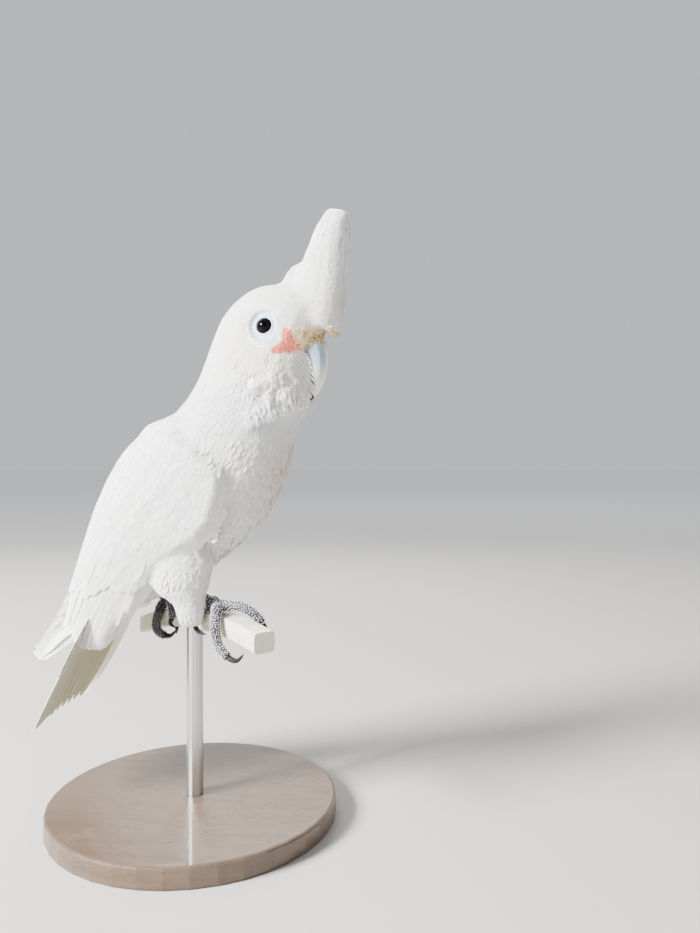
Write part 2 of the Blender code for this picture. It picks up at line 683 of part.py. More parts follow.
def build():
    """Builds the bird, its perch and its stand."""
    clear_scene()
    white = finish("white feathers", (0.86, 0.85, 0.82), 0.80)
    cream = finish("cream feathers", (0.88, 0.85, 0.76), 0.80)
    yellowish = finish("tail feathers", (0.85, 0.80, 0.58), 0.75)
    horn = finish("grey horn", (0.55, 0.58, 0.62), 0.40)
    eye_black = finish("dark eye", (0.01, 0.01, 0.012), 0.08)
    scaly = finish("scaly skin", (0.12, 0.12, 0.13), 0.65)
    claw_black = finish("black claw", (0.02, 0.02, 0.022), 0.35)
    bar_paint = finish("cream bar paint", (0.60, 0.55, 0.45), 0.45)
    stand_paint = finish("stand paint", (0.10, 0.10, 0.11), 0.50)
    steel = finish("rod steel", (0.45, 0.45, 0.46), 0.35, 1.0)

    perch = make_perch(bar_paint)
    perch_cutter = cutter_from(perch, "perch_cutter")
    make_stand(perch, stand_paint, steel)
    body_cutter, trunk, neck, head = make_body(white)
    make_eyes(head, eye_black)
    make_crest(body_cutter, cream)
    make_bill(head, horn)
    leg_right = make_leg(RIGHT, RIGHT_LEG_ROWS, body_cutter, perch_cutter, white)
    leg_left = make_leg(LEFT, LEFT_LEG_ROWS, body_cutter, perch_cutter, white)
    wing_right = make_wing(RIGHT, RIGHT_TIP_ROWS, body_cutter, white)
    wing_left = make_wing(LEFT, LEFT_TIP_ROWS, body_cutter, white)
    combine(wing_right, cutter_from(leg_right, "leg_right_under_wing"))
    combine(wing_left, cutter_from(leg_left, "leg_left_under_wing"))
    make_tail(body_cutter, (wing_right, wing_left), yellowish)
    cutters = (perch_cutter, body_cutter)
    make_foot(RIGHT, RIGHT_PALM, RIGHT_ANKLE, RIGHT_TOES, leg_right, cutters, scaly, claw_black)
    make_foot(LEFT, LEFT_PALM, LEFT_ANKLE, LEFT_TOES, leg_left, cutters, scaly, claw_black)


build()
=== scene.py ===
"""The looks of a Goffin's cockatoo that grips a short bar on a plain display stand.

One skin takes the place of the bird's flesh, and feathers are laid over it as thin solid
vanes that follow the lie of the plumage. All sizes are in metres. The bird faces +X, its
left side is +Y, and heights in the bird's own tables are measured from the datum, a point
midway between its feet.
"""
import logging
import math
from contextlib import contextmanager
from dataclasses import dataclass, field
from enum import Enum
from typing import Callable, Iterable, Iterator, Sequence

import bmesh
import bpy
import numpy as np
from mathutils import Matrix, Vector, noise
from mathutils.bvhtree import BVHTree
from mathutils.kdtree import KDTree


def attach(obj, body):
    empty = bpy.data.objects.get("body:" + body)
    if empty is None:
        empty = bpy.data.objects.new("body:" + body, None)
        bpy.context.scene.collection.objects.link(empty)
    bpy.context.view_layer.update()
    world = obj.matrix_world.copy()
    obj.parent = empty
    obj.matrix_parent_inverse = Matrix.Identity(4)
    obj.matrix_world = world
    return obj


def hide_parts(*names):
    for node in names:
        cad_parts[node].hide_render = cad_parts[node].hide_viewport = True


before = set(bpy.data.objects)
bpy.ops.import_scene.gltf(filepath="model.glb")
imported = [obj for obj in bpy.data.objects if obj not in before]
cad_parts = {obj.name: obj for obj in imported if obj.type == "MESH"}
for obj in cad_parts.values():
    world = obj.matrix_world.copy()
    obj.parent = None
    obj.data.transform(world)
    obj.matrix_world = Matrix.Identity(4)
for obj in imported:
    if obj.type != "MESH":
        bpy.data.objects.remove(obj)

Array = np.ndarray
Rng = np.random.Generator
Mesh = bpy.types.Mesh
Material = bpy.types.Material
Colour = tuple[float, float, float]
Point = tuple[float, float, float]

LOG = logging.getLogger("cockatoo")
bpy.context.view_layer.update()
DATUM = 0.115  # height of the point midway between the feet
MILLIMETRE = 0.001
PATCH = 0.003  # width of a feather's patch on its coat's map
DENSITY = 2.2e7  # places tried for a feather's root, for each square metre


class Side(Enum):
    """The bird's own sides, with the sign of Y."""

    LEFT = 1
    RIGHT = -1

    @property
    def word(self) -> str:
        """The side's name in the names of pieces and nodes."""
        return self.name.lower()


def unit(vectors: Array) -> Array:
    """Vectors of length one along the last axis."""
    return vectors / np.maximum(np.linalg.norm(vectors, axis=-1, keepdims=True), 1e-12)


def smoothstep(low: float, high: float, value: Array) -> Array:
    """A smooth rise from 0 at low to 1 at high."""
    share = np.clip((value - low) / (high - low), 0.0, 1.0)
    return share * share * (3.0 - 2.0 * share)


def catmull(points: Sequence[Sequence[float]], places: Array) -> Array:
    """Reads a Catmull-Rom curve.

    Args:
        points: The curve's own points.
        places: Where to read it, from 0 at the first point to 1 at the last.

    Returns:
        One row for each place.
    """
    rows = np.asarray(points, float)
    last = len(rows) - 1
    spot = np.clip(np.asarray(places, float), 0.0, 1.0) * last
    index = np.minimum(spot.astype(int), last - 1)
    t = (spot - index)[..., None]
    a, b, c, d = (rows[np.clip(index + k, 0, last)] for k in (-1, 0, 1, 2))
    return 0.5 * (
        2 * b + (c - a) * t + (2 * a - 5 * b + 4 * c - d) * t**2 + (3 * b - a - 3 * c + d) * t**3
    )


def at(x: float, y: float, height: float) -> Vector:
    """A point from its x, its y and its height above the datum."""
    return Vector((x, y, DATUM + height))


@dataclass(frozen=True)
class HeadTurn:
    """The turn of the head about the neck, eased in from the neck's foot upwards."""

    pivot: Point = (0.035, 0.0, 0.0)
    angle: float = math.radians(-10.0)
    start: float = DATUM + 0.112
    end: float = DATUM + 0.15

    def spin(self, points: Array, heights: Array, sign: float) -> Array:
        """Turns vectors by the share of the turn that belongs to their heights."""
        angle = sign * self.angle * smoothstep(self.start, self.end, heights)
        cos, sin = np.cos(angle), np.sin(angle)
        x, y, z = points[..., 0], points[..., 1], points[..., 2]
        return np.stack((x * cos - y * sin, x * sin + y * cos, z), axis=-1)

    def turned(self, points: Array) -> Array:
        """Points of the straight bird as they lie on the turned one."""
        return self.spin(points - self.pivot, points[..., 2], 1.0) + self.pivot

    def straight(self, points: Array) -> Array:
        """Points of the turned bird as they would lie on the straight one."""
        return self.spin(points - self.pivot, points[..., 2], -1.0) + self.pivot


TURN = HeadTurn()


def straight_place(places: Array) -> tuple[Array, Array, Array]:
    """Places as they would lie on the straight bird: x, y, and height over the datum."""
    straight = TURN.straight(places)
    return straight[:, 0], straight[:, 1], straight[:, 2] - DATUM


def head_point(x: float, y: float, height: float) -> Vector:
    """A point of the head, carried round with it."""
    return Vector(TURN.turned(np.array(at(x, y, height))[None])[0])


# --- shader maths


class Value:
    """A shader socket that arithmetic can be written on."""

    def __init__(self, graph: "Graph", socket: bpy.types.NodeSocket) -> None:
        """Wraps an output socket of a graph."""
        self.graph = graph
        self.socket = socket

    def math(self, operation: str, *others: "Value | float") -> "Value":
        """Adds a Math node on this value and others."""
        return self.graph.math(operation, self, *others)

    def __add__(self, other: "Value | float") -> "Value":
        """The sum."""
        return self.math("ADD", other)

    __radd__ = __add__

    def __sub__(self, other: "Value | float") -> "Value":
        """The difference."""
        return self.math("SUBTRACT", other)

    def __rsub__(self, other: float) -> "Value":
        """The difference, from the right."""
        return self.graph.math("SUBTRACT", other, self)

    def __mul__(self, other: "Value | float") -> "Value":
        """The product."""
        return self.math("MULTIPLY", other)

    __rmul__ = __mul__

    def rise(self, low: float, high: float) -> "Value":
        """A smooth rise from 0 at low to 1 at high, or a fall where high is the lower."""
        return self.graph.output(
            "ShaderNodeMapRange", {"interpolation_type": "SMOOTHSTEP"},
            {"Value": self, "From Min": low, "From Max": high}, "Result")


class Graph:
    """A material's node graph, written as expressions."""

    def __init__(self, name: str) -> None:
        """Makes a material with an empty Principled shader."""
        self.material = bpy.data.materials.new(name)
        self.material.use_nodes = True
        self.tree = self.material.node_tree
        self.shader = self.tree.nodes["Principled BSDF"]

    def node(self, kind: str, settings: dict, sockets: dict) -> bpy.types.Node:
        """Adds a node.

        Args:
            kind: The node's type.
            settings: Its own settings, which are set first.
            sockets: The values or links of its input sockets, by name or number.

        Returns:
            The node.
        """
        node = self.tree.nodes.new(kind)
        for key, value in settings.items():
            setattr(node, key, value)
        for key, value in sockets.items():
            self.feed(node.inputs[key], value)
        return node

    def feed(self, socket: bpy.types.NodeSocket, value: object) -> None:
        """Links or sets an input socket."""
        if isinstance(value, Value):
            self.tree.links.new(value.socket, socket)
        elif isinstance(value, tuple) and len(value) == 3 and len(socket.default_value) == 4:
            socket.default_value = (*value, 1.0)
        else:
            socket.default_value = value

    def output(self, kind: str, settings: dict, sockets: dict, name: "str | int" = 0) -> Value:
        """Adds a node, and gives one of its outputs by name or number."""
        return Value(self, self.node(kind, settings, sockets).outputs[name])

    def math(self, operation: str, *values: "Value | float") -> Value:
        """Adds a Math node."""
        return self.output("ShaderNodeMath", {"operation": operation}, dict(enumerate(values)))

    def vector(self, operation: str, *values: object) -> Value:
        """Adds a Vector Math node, and gives its number where it makes one."""
        name = "Value" if operation in ("LENGTH", "DOT_PRODUCT") else "Vector"
        sockets = dict(enumerate(values))
        return self.output("ShaderNodeVectorMath", {"operation": operation}, sockets, name)

    def place(self) -> Value:
        """The object's own coordinates."""
        return self.output("ShaderNodeTexCoord", {}, {}, "Object")

    def attribute(self, name: str) -> Value:
        """A number stored on the mesh."""
        return self.output("ShaderNodeAttribute", {"attribute_name": name}, {}, "Fac")

    def map(self, name: str) -> Value:
        """One of the mesh's own maps."""
        return self.output("ShaderNodeUVMap", {"uv_map": name}, {}, "UV")

    def parts(self, vector: Value) -> tuple[Value, Value, Value]:
        """The three numbers of a vector."""
        node = self.node("ShaderNodeSeparateXYZ", {}, {0: vector})
        return tuple(Value(self, output) for output in node.outputs)

    def joined(self, x: Value, y: Value, z: Value) -> Value:
        """A vector from its three numbers."""
        return self.output("ShaderNodeCombineXYZ", {}, {0: x, 1: y, 2: z})

    def stretched(self, place: Value, scale: Point) -> Value:
        """Coordinates scaled along their axes."""
        return self.output("ShaderNodeMapping", {}, {"Vector": place, "Scale": scale})

    def noise(self, place: Value, scale: float, detail: float = 2.0, rough: float = 0.5) -> Value:
        """Noise from 0 to 1."""
        sockets = {"Vector": place, "Scale": scale, "Detail": detail, "Roughness": rough}
        return self.output("ShaderNodeTexNoise", {}, sockets, "Fac")

    def cells(self, place: Value, scale: float) -> Value:
        """The distance within random cells."""
        sockets = {"Vector": place, "Scale": scale}
        return self.output("ShaderNodeTexVoronoi", {}, sockets, "Distance")

    def mix(self, share: "Value | float", first: "Value | Colour",
            second: "Value | Colour") -> Value:
        """A colour between two others."""
        sockets = {"Factor": share, 6: first, 7: second}
        return self.output("ShaderNodeMix", {"data_type": "RGBA"}, sockets, 2)

    def bump(self, height: Value, distance: float) -> Value:
        """A normal that stands for a relief of the given height."""
        return self.output("ShaderNodeBump", {}, {"Height": height, "Distance": distance}, "Normal")

    def spot(self, place: Value, centre: Point, radii: Point, soft: float) -> Value:
        """A soft-edged ellipsoid.

        Args:
            place: The coordinates to test.
            centre: The ellipsoid's centre, with its height over the datum.
            radii: Its half axes.
            soft: The share of its radius over which its edge fades.

        Returns:
            1 inside it and 0 outside.
        """
        away = self.vector("SUBTRACT", place, (centre[0], centre[1], centre[2] + DATUM))
        return self.vector("LENGTH", self.vector("DIVIDE", away, radii)).rise(1.0, 1.0 - soft)

    def head_place(self) -> Value:
        """Coordinates that go with the turned head, with both its sides folded onto one."""
        sockets = {"Vector": self.vector("SUBTRACT", self.place(), TURN.pivot),
                   "Rotation": (0.0, 0.0, -TURN.angle), "Location": TURN.pivot}
        x, y, z = self.parts(self.output("ShaderNodeMapping", {}, sockets))
        return self.joined(x, y.math("ABSOLUTE"), z)

    def finish(self, **sockets: object) -> Material:
        """Feeds the shader's sockets, named with underscores, and returns the material."""
        for key, value in sockets.items():
            self.feed(self.shader.inputs[key.replace("_", " ")], value)
        return self.material


# --- finishes


@dataclass(frozen=True)
class Markings:
    """The colours of the bird's plumage and of the skin under it, with some painted shade."""

    white: Colour = (0.9, 0.895, 0.88)
    cream: Colour = (0.93, 0.88, 0.66)
    rose: Colour = (0.76, 0.6, 0.51)
    blue: Colour = (0.74, 0.79, 0.88)
    tan: Colour = (0.66, 0.44, 0.27)
    salmon: Colour = (0.8, 0.13, 0.06)
    yellow: Colour = (0.47, 0.39, 0.15)
    warm: Colour = (0.8, 0.56, 0.4)
    straw: Colour = (0.62, 0.54, 0.28)
    # painted shadow: the tan of the shaded cleft under the wing's front edge
    hollow: Colour = (0.45, 0.27, 0.13)
    tints: tuple = (
        # colour, share, soft edge, centre (height over the datum), half axes
        ("cream", 0.6, 0.9, (0.04, 0.021, 0.156), (0.022, 0.02, 0.024)),
        ("cream", 0.5, 0.8, (0.062, 0.018, 0.15), (0.016, 0.014, 0.013)),
        ("cream", 0.2, 0.8, (0.08, 0.0, 0.19), (0.02, 0.02, 0.045)),
        ("tan", 0.5, 0.9, (0.0935, 0.0, 0.186), (0.0045, 0.01, 0.013)),
        # painted shade: this rose tint darkens the breast's front to a shaded warm grey
        ("rose", 0.75, 0.9, (0.062, 0.0, 0.078), (0.036, 0.034, 0.048)),
        ("rose", 0.25, 0.9, (0.05, 0.02, 0.133), (0.022, 0.016, 0.01)),
        # painted shade: the two blue tints stand for bluish shade, on the neck's sides and on the
        # crown behind the plume
        ("blue", 0.75, 0.9, (0.035, 0.018, 0.124), (0.038, 0.026, 0.022)),
        ("blue", 0.6, 0.7, (0.062, 0.0, 0.205), (0.0085, 0.014, 0.014)),
        ("straw", 0.75, 0.8, (-0.066, 0.0, -0.01), (0.022, 0.016, 0.024)),
    )
    # painted shadow: where the tan shade of the cleft under the wing's front edge is painted on the
    # breast
    gap: tuple = (
        ((0.03, 0.029, 0.076), (0.0055, 0.01, 0.015)),
        ((0.025, 0.029, 0.061), (0.006, 0.01, 0.013)),
    )
    ragged: float = 0.002  # how far the edge of the bare lores strays
    lores: tuple = (
        ((0.0658, 0.019, 0.1625), (0.0062, 0.012, 0.005)),
        ((0.0655, 0.019, 0.1675), (0.0032, 0.012, 0.0052)),
        ((0.0605, 0.019, 0.1598), (0.0042, 0.012, 0.0028)),
    )

    def paint(self, graph: Graph, gap: bool = True) -> Value:
        """The plumage's colour by place, painted shade included, which the skin under it shares.

        Args:
            graph: The material's graph.
            gap: Whether the tan shadow under the wing's front edge is painted.

        Returns:
            The colour.
        """
        head = graph.head_place()
        colour = self.white
        for name, share, soft, centre, axes in self.tints:
            tint = graph.spot(head, centre, axes, soft) * share
            colour = graph.mix(tint, colour, getattr(self, name))
        # painted shadow in the cleft under the wing's front edge
        if gap:
            upper, lower = (graph.spot(head, *spot, 0.6) for spot in self.gap)
            colour = graph.mix(upper.math("MAXIMUM", lower) * 0.9, colour, self.hollow)
        return graph.mix(self.lore(graph, head), colour, self.salmon)

    def lore(self, graph: Graph, head: Value) -> Value:
        """The share of salmon on the bare patch between the eye and the bill."""
        sockets = {"Vector": head, "Scale": 420.0, "Detail": 2.0}
        drift = graph.output("ShaderNodeTexNoise", {}, sockets, "Color")
        stirred = graph.vector("MULTIPLY_ADD", drift, (self.ragged * 2,) * 3, head)
        place = graph.vector("SUBTRACT", stirred, (self.ragged,) * 3)
        first, second, third = (graph.spot(place, *spot, 0.35) for spot in self.lores)
        return first.math("MAXIMUM", second * 0.7).math("MAXIMUM", third)


MARKINGS = Markings()


@dataclass(frozen=True)
class Feather:
    """Soft matt feather, combed into barbs that run out from the quill."""

    name: str
    barb: float = 0.5  # millimetres from one barb to the next
    slant: float = 1.2
    relief: float = 0.00003
    warmth: float = 0.3  # share of warm colour in the downy hollows between feathers
    # whether the painted tan shadow under the wing's front edge is laid on these feathers
    gap: bool = True
    under: float = 0.0  # share of yellow on the feathers' undersides

    def make(self) -> Material:
        """Makes the material."""
        graph = Graph(self.name)
        along = graph.attribute("along")
        colour = MARKINGS.paint(graph, self.gap)
        colour = graph.mix(along.rise(0.75, 0.2) * self.warmth, colour, MARKINGS.warm)
        if self.under:
            colour = graph.mix(graph.attribute("under") * self.under, colour, MARKINGS.yellow)
        across, length, _ = graph.parts(graph.map("Vane"))
        comb = (length - across.math("ABSOLUTE") * self.slant) * (math.tau / self.barb)
        ridges = comb.math("SINE") * 0.5 + 0.5
        clumps = graph.noise(graph.map("Vane"), 1.4, 2.0)
        value = (graph.attribute("shade") * 0.05 + 0.95) * (ridges * 0.03 + 0.97)
        return graph.finish(
            Base_Color=graph.vector("MULTIPLY", colour, graph.joined(value, value, value)),
            Roughness=0.72, Specular_IOR_Level=0.22, Sheen_Weight=0.2, Sheen_Roughness=0.5,
            Subsurface_Weight=0.45, Subsurface_Radius=(1.0, 0.8, 0.65), Subsurface_Scale=0.0022,
            Normal=graph.bump(ridges * 0.6 + clumps, self.relief),
        )


@dataclass(frozen=True)
class FaceBristle:
    """The stubby bristles of the lores and of the bill's root."""

    name: str = "face bristles"

    def make(self) -> Material:
        """Makes the material."""
        graph = Graph(self.name)
        head = graph.head_place()
        shade = graph.attribute("shade")
        salmon = graph.mix(shade, (0.55, 0.05, 0.02), (0.85, 0.2, 0.11))
        straw = graph.mix(shade.rise(0.15, 0.6), (0.3, 0.18, 0.06), (0.92, 0.66, 0.3))
        x, _, z = graph.parts(head)
        front = (x + (z - (DATUM + 0.166)) * 0.4).rise(0.0682, 0.0712)
        colour = graph.mix(front, salmon, straw)
        tip = graph.attribute("along").rise(0.3, 1.0) * 0.3
        colour = graph.mix(tip, colour, (0.96, 0.84, 0.68))
        return graph.finish(
            Base_Color=colour, Roughness=0.7, Specular_IOR_Level=0.3, Subsurface_Weight=0.2,
            Subsurface_Radius=(1.0, 0.5, 0.3), Subsurface_Scale=0.001,
        )


@dataclass(frozen=True)
class BirdSkin:
    """The bird's skin: down-coloured under the plumage, bare at the eye, lores and feet."""

    name: str = "skin"

    def make(self) -> Material:
        """Makes the material."""
        graph = Graph(self.name)
        head = graph.head_place()
        place = graph.place()
        grain = graph.cells(place, 1400.0)
        fine = graph.noise(place, 900.0, 3.0)
        colour = MARKINGS.paint(graph)
        salmon = MARKINGS.lore(graph, head)
        pores = graph.noise(place, 1500.0, 2.0).rise(0.35, 0.65)
        granular = graph.mix(pores, (0.72, 0.18, 0.1), (0.93, 0.5, 0.34))
        colour = graph.mix(salmon, colour, granular)
        bare = graph.attribute("bare")
        ring = graph.mix(fine.rise(0.3, 0.7), (0.37, 0.43, 0.58), (0.56, 0.62, 0.76))
        colour = graph.mix(bare, colour, ring)
        foot = graph.attribute("foot")
        hide = graph.mix(grain.rise(0.0, 0.6), (0.012, 0.012, 0.015), (0.035, 0.034, 0.04))
        colour = graph.mix(foot, colour, hide)
        return graph.finish(
            Base_Color=colour, Roughness=0.6, Specular_IOR_Level=0.3, Subsurface_Weight=0.12,
            Subsurface_Radius=(1.0, 0.5, 0.35), Subsurface_Scale=0.0012,
            Normal=graph.bump(grain * 0.6 + fine * 0.4, 0.00006),
        )


@dataclass(frozen=True)
class FootScale:
    """The small horny plates of the feet."""

    name: str
    dark: Colour
    light: Colour

    def make(self) -> Material:
        """Makes the material."""
        graph = Graph(self.name)
        place = graph.place()
        shade = graph.attribute("shade")
        top = graph.attribute("along")
        worn = graph.noise(place, 500.0, 3.0)
        colour = graph.mix(shade * 0.5 + worn * 0.5, self.dark, self.light)
        colour = graph.mix(top.rise(0.1, 0.7), (0.018, 0.018, 0.022), colour)
        return graph.finish(
            Base_Color=colour, Roughness=0.5, Specular_IOR_Level=0.4,
            Normal=graph.bump(worn, 0.00004),
        )


@dataclass(frozen=True)
class Horn:
    """The bill's horn: blue-grey at its root and paler at its tip, with a painted highlight down its
    ridge.
    """

    name: str = "bill horn"

    def make(self) -> Material:
        """Makes the material."""
        graph = Graph(self.name)
        head = graph.head_place()
        _, y, z = graph.parts(head)
        lines = graph.noise(graph.stretched(head, (1.0, 1.0, 0.25)), 700.0, 3.0, 0.6)
        cloud = graph.noise(head, 160.0, 3.0)
        low = z.rise(DATUM + 0.158, DATUM + 0.14)
        ridge = y.rise(0.004, 0.0008)
        colour = graph.mix(cloud, (0.19, 0.26, 0.38), (0.3, 0.38, 0.49))
        colour = graph.mix(low, colour, (0.62, 0.65, 0.5))
        # painted highlight: the ridge is painted paler, where the light catches it
        colour = graph.mix(ridge * 0.75, colour, (0.76, 0.79, 0.78))
        colour = graph.mix(lines.rise(0.35, 0.8) * 0.25, colour, (0.82, 0.84, 0.82))
        return graph.finish(
            Base_Color=colour, Roughness=lines * 0.15 + 0.28, Specular_IOR_Level=0.45,
            Coat_Weight=0.15, Subsurface_Weight=0.15, Subsurface_Radius=(1.0, 0.8, 0.6),
            Subsurface_Scale=0.0015,
            Normal=graph.bump(lines + cloud, 0.00005),
        )


@dataclass(frozen=True)
class EyeGlass:
    """A dark brown iris round a black pupil, under a clear wet cornea."""

    centre: Point
    look: Point
    name: str

    def make(self) -> Material:
        """Makes the material."""
        graph = Graph(self.name)
        way = graph.vector("NORMALIZE", graph.vector("SUBTRACT", graph.place(), self.centre))
        front = graph.vector("DOT_PRODUCT", way, self.look)
        fibres = graph.noise(way, 22.0, 4.0, 0.7)
        iris = graph.mix(fibres, (0.001, 0.0009, 0.0008), (0.004, 0.003, 0.0024))
        colour = graph.mix(front.rise(0.925, 0.94), iris, (0.0006, 0.0006, 0.0006))
        return graph.finish(Base_Color=colour, Roughness=0.05, IOR=1.18, Specular_IOR_Level=0.5)


@dataclass(frozen=True)
class ClawHorn:
    """Black horn with paler flecks here and there."""

    name: str = "claw horn"

    def make(self) -> Material:
        """Makes the material."""
        graph = Graph(self.name)
        streaks = graph.noise(graph.place(), 900.0, 4.0, 0.6)
        colour = graph.mix(streaks.rise(0.5, 0.85), (0.006, 0.006, 0.007), (0.035, 0.032, 0.03))
        return graph.finish(
            Base_Color=colour, Roughness=streaks * 0.2 + 0.2, Specular_IOR_Level=0.25,
            Normal=graph.bump(streaks, 0.00004),
        )


@dataclass(frozen=True)
class BarPaint:
    """Cream paint on the bar, uneven, specked and chipped in patches."""

    name: str = "bar paint"

    def make(self) -> Material:
        """Makes the material."""
        graph = Graph(self.name)
        place = graph.place()
        broad = graph.noise(place, 60.0, 3.0)
        fine = graph.noise(place, 700.0, 3.0)
        chips = graph.cells(place, 260.0).rise(0.16, 0.1) * broad.rise(0.48, 0.56)
        specks = graph.cells(place, 620.0).rise(0.1, 0.05)
        colour = graph.mix(broad, (0.6, 0.56, 0.46), (0.7, 0.66, 0.57))
        colour = graph.mix(specks * 0.5, colour, (0.35, 0.3, 0.24))
        colour = graph.mix(chips, colour, (0.26, 0.2, 0.15))
        return graph.finish(
            Base_Color=colour, Roughness=fine * 0.15 + 0.36 + chips * 0.2, Coat_Weight=0.1,
            Normal=graph.bump(fine * 0.3 - chips, 0.00012),
        )


@dataclass(frozen=True)
class StandWood:
    """Dark stained wood under satin varnish."""

    name: str = "stand wood"

    def make(self) -> Material:
        """Makes the material."""
        graph = Graph(self.name)
        grain_place = graph.stretched(graph.place(), (3.0, 24.0, 24.0))
        grain = graph.noise(grain_place, 6.0, 5.0, 0.65)
        pores = graph.noise(grain_place, 60.0, 2.0).rise(0.62, 0.72)
        colour = graph.mix(grain, (0.045, 0.028, 0.018), (0.13, 0.085, 0.055))
        colour = graph.mix(pores * 0.6, colour, (0.02, 0.013, 0.009))
        return graph.finish(
            Base_Color=colour, Roughness=grain * 0.15 + 0.34, Coat_Weight=0.25,
            Normal=graph.bump(grain - pores * 0.6, 0.00015),
        )


@dataclass(frozen=True)
class RodSteel:
    """Steel drawn along its length."""

    name: str = "rod steel"

    def make(self) -> Material:
        """Makes the material."""
        graph = Graph(self.name)
        lines = graph.noise(graph.stretched(graph.place(), (1.0, 1.0, 0.03)), 2600.0, 3.0)
        colour = graph.mix(lines, (0.42, 0.42, 0.43), (0.62, 0.62, 0.63))
        return graph.finish(
            Base_Color=colour, Metallic=1.0, Roughness=lines * 0.2 + 0.22,
            Normal=graph.bump(lines, 0.00002),
        )


@dataclass(frozen=True)
class FloorPaint:
    """A plain pale floor, paler far away."""

    name: str = "floor"
    near: Colour = (0.42, 0.41, 0.39)
    far: Colour = (0.93, 0.94, 0.96)

    def make(self) -> Material:
        """Makes the material."""
        graph = Graph(self.name)
        away = graph.vector("LENGTH", graph.place()).rise(0.3, 4.0)
        colour = graph.mix(away, self.near, self.far)
        return graph.finish(Base_Color=colour, Roughness=0.9, Specular_IOR_Level=0.1)


# --- surfaces


def placed(name: str, data: bpy.types.ID) -> bpy.types.Object:
    """Puts a new object in the scene."""
    item = bpy.data.objects.new(name, data)
    bpy.context.scene.collection.objects.link(item)
    return item


def written(mesh: bmesh.types.BMesh, name: str) -> Mesh:
    """Writes a bmesh to a new mesh, and drops it."""
    data = bpy.data.meshes.new(name)
    mesh.to_mesh(data)
    mesh.free()
    return data


@contextmanager
def opened(data: Mesh) -> Iterator[bmesh.types.BMesh]:
    """Opens a mesh as a bmesh, which is written back to it at the end."""
    mesh = bmesh.new()
    mesh.from_mesh(data)
    yield mesh
    mesh.to_mesh(data)
    mesh.free()


def ease(mesh: bmesh.types.BMesh, verts: Iterable, rounds: int) -> None:
    """Evens out some of a bmesh's points."""
    for _ in range(rounds):
        bmesh.ops.smooth_vert(
            mesh, verts=verts, factor=0.5, use_axis_x=True, use_axis_y=True, use_axis_z=True)


def add_piece(name: str, data: Mesh, material: Material) -> bpy.types.Object:
    """Makes a mesh a piece that rides on the model."""
    data.materials.clear()
    data.materials.append(material)
    data.shade_smooth()
    piece = placed(name, data)
    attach(piece, "root")
    LOG.info("%s: %d faces", name, len(data.polygons))
    return piece


def fused(nodes: Iterable[str], voxel: float, keep: Callable | None = None) -> Mesh:
    """One closed mesh round several solids.

    Args:
        nodes: The solids' names.
        voxel: The mesh's fineness.
        keep: Trims a solid's bmesh first, given its name, where it is passed.

    Returns:
        The mesh, which no object uses.
    """
    mesh = bmesh.new()
    for node in nodes:
        part = bmesh.new()
        part.from_mesh(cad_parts[node].data)
        bmesh.ops.remove_doubles(part, verts=part.verts, dist=1e-6)
        if keep:
            keep(node, part)
        data = written(part, "part")
        mesh.from_mesh(data)
        bpy.data.meshes.remove(data)
    return remeshed(written(mesh, "fused"), voxel)


def remeshed(data: Mesh, voxel: float) -> Mesh:
    """One closed mesh round all that another holds, which is dropped."""
    item = placed("fused", data)
    remesh = item.modifiers.new("remesh", "REMESH")
    remesh.mode = "VOXEL"
    remesh.voxel_size = voxel
    graph = bpy.context.evaluated_depsgraph_get()
    made = bpy.data.meshes.new_from_object(item.evaluated_get(graph))
    bpy.data.objects.remove(item)
    bpy.data.meshes.remove(data)
    return made


def smoothed(data: Mesh, rounds: int) -> Mesh:
    """Evens out a mesh in place."""
    with opened(data) as mesh:
        ease(mesh, mesh.verts, rounds)
    return data


def read(collection: object, key: str, width: int) -> Array:
    """A mesh's numbers as an array."""
    numbers = np.empty(len(collection) * width, float)
    collection.foreach_get(key, numbers)
    return numbers.reshape(-1, width)


def move(data: Mesh, points: Array) -> None:
    """Puts a mesh's points at new places."""
    data.vertices.foreach_set("co", points.astype(np.float32).ravel())
    data.update()


def store(data: Mesh, name: str, values: Array, domain: str = "POINT") -> None:
    """Stores a number for each of a mesh's points or faces."""
    data.attributes.new(name, "FLOAT", domain).data.foreach_set("value", values.astype(np.float32))


def as_template(mesh: bmesh.types.BMesh) -> tuple[Array, Array]:
    """The points and triangles of a bmesh, which is dropped."""
    mesh.verts.index_update()
    points = np.array([vert.co for vert in mesh.verts])
    triangles = np.array([[vert.index for vert in face.verts] for face in mesh.faces])
    mesh.free()
    return points, triangles


def filled(rows: tuple, spares: tuple, met: Array, shape: tuple) -> tuple[Array, Array]:
    """Points and normals with spare ones where rays met nothing, in a shape of their own."""
    return tuple(np.where(met[:, None], row, spare).reshape(*shape, 3)
                 for row, spare in zip(rows, spares))


def even_out(path: Array, ups: Array, rounds: int) -> None:
    """Evens out paths and their normals between their ends."""
    for _ in range(rounds):
        path[:, 1:-1] = (path[:, :-2] + path[:, 1:-1] * 2 + path[:, 2:]) / 4
        ups[:, 1:-1] = unit(ups[:, :-2] + ups[:, 1:-1] + ups[:, 2:])


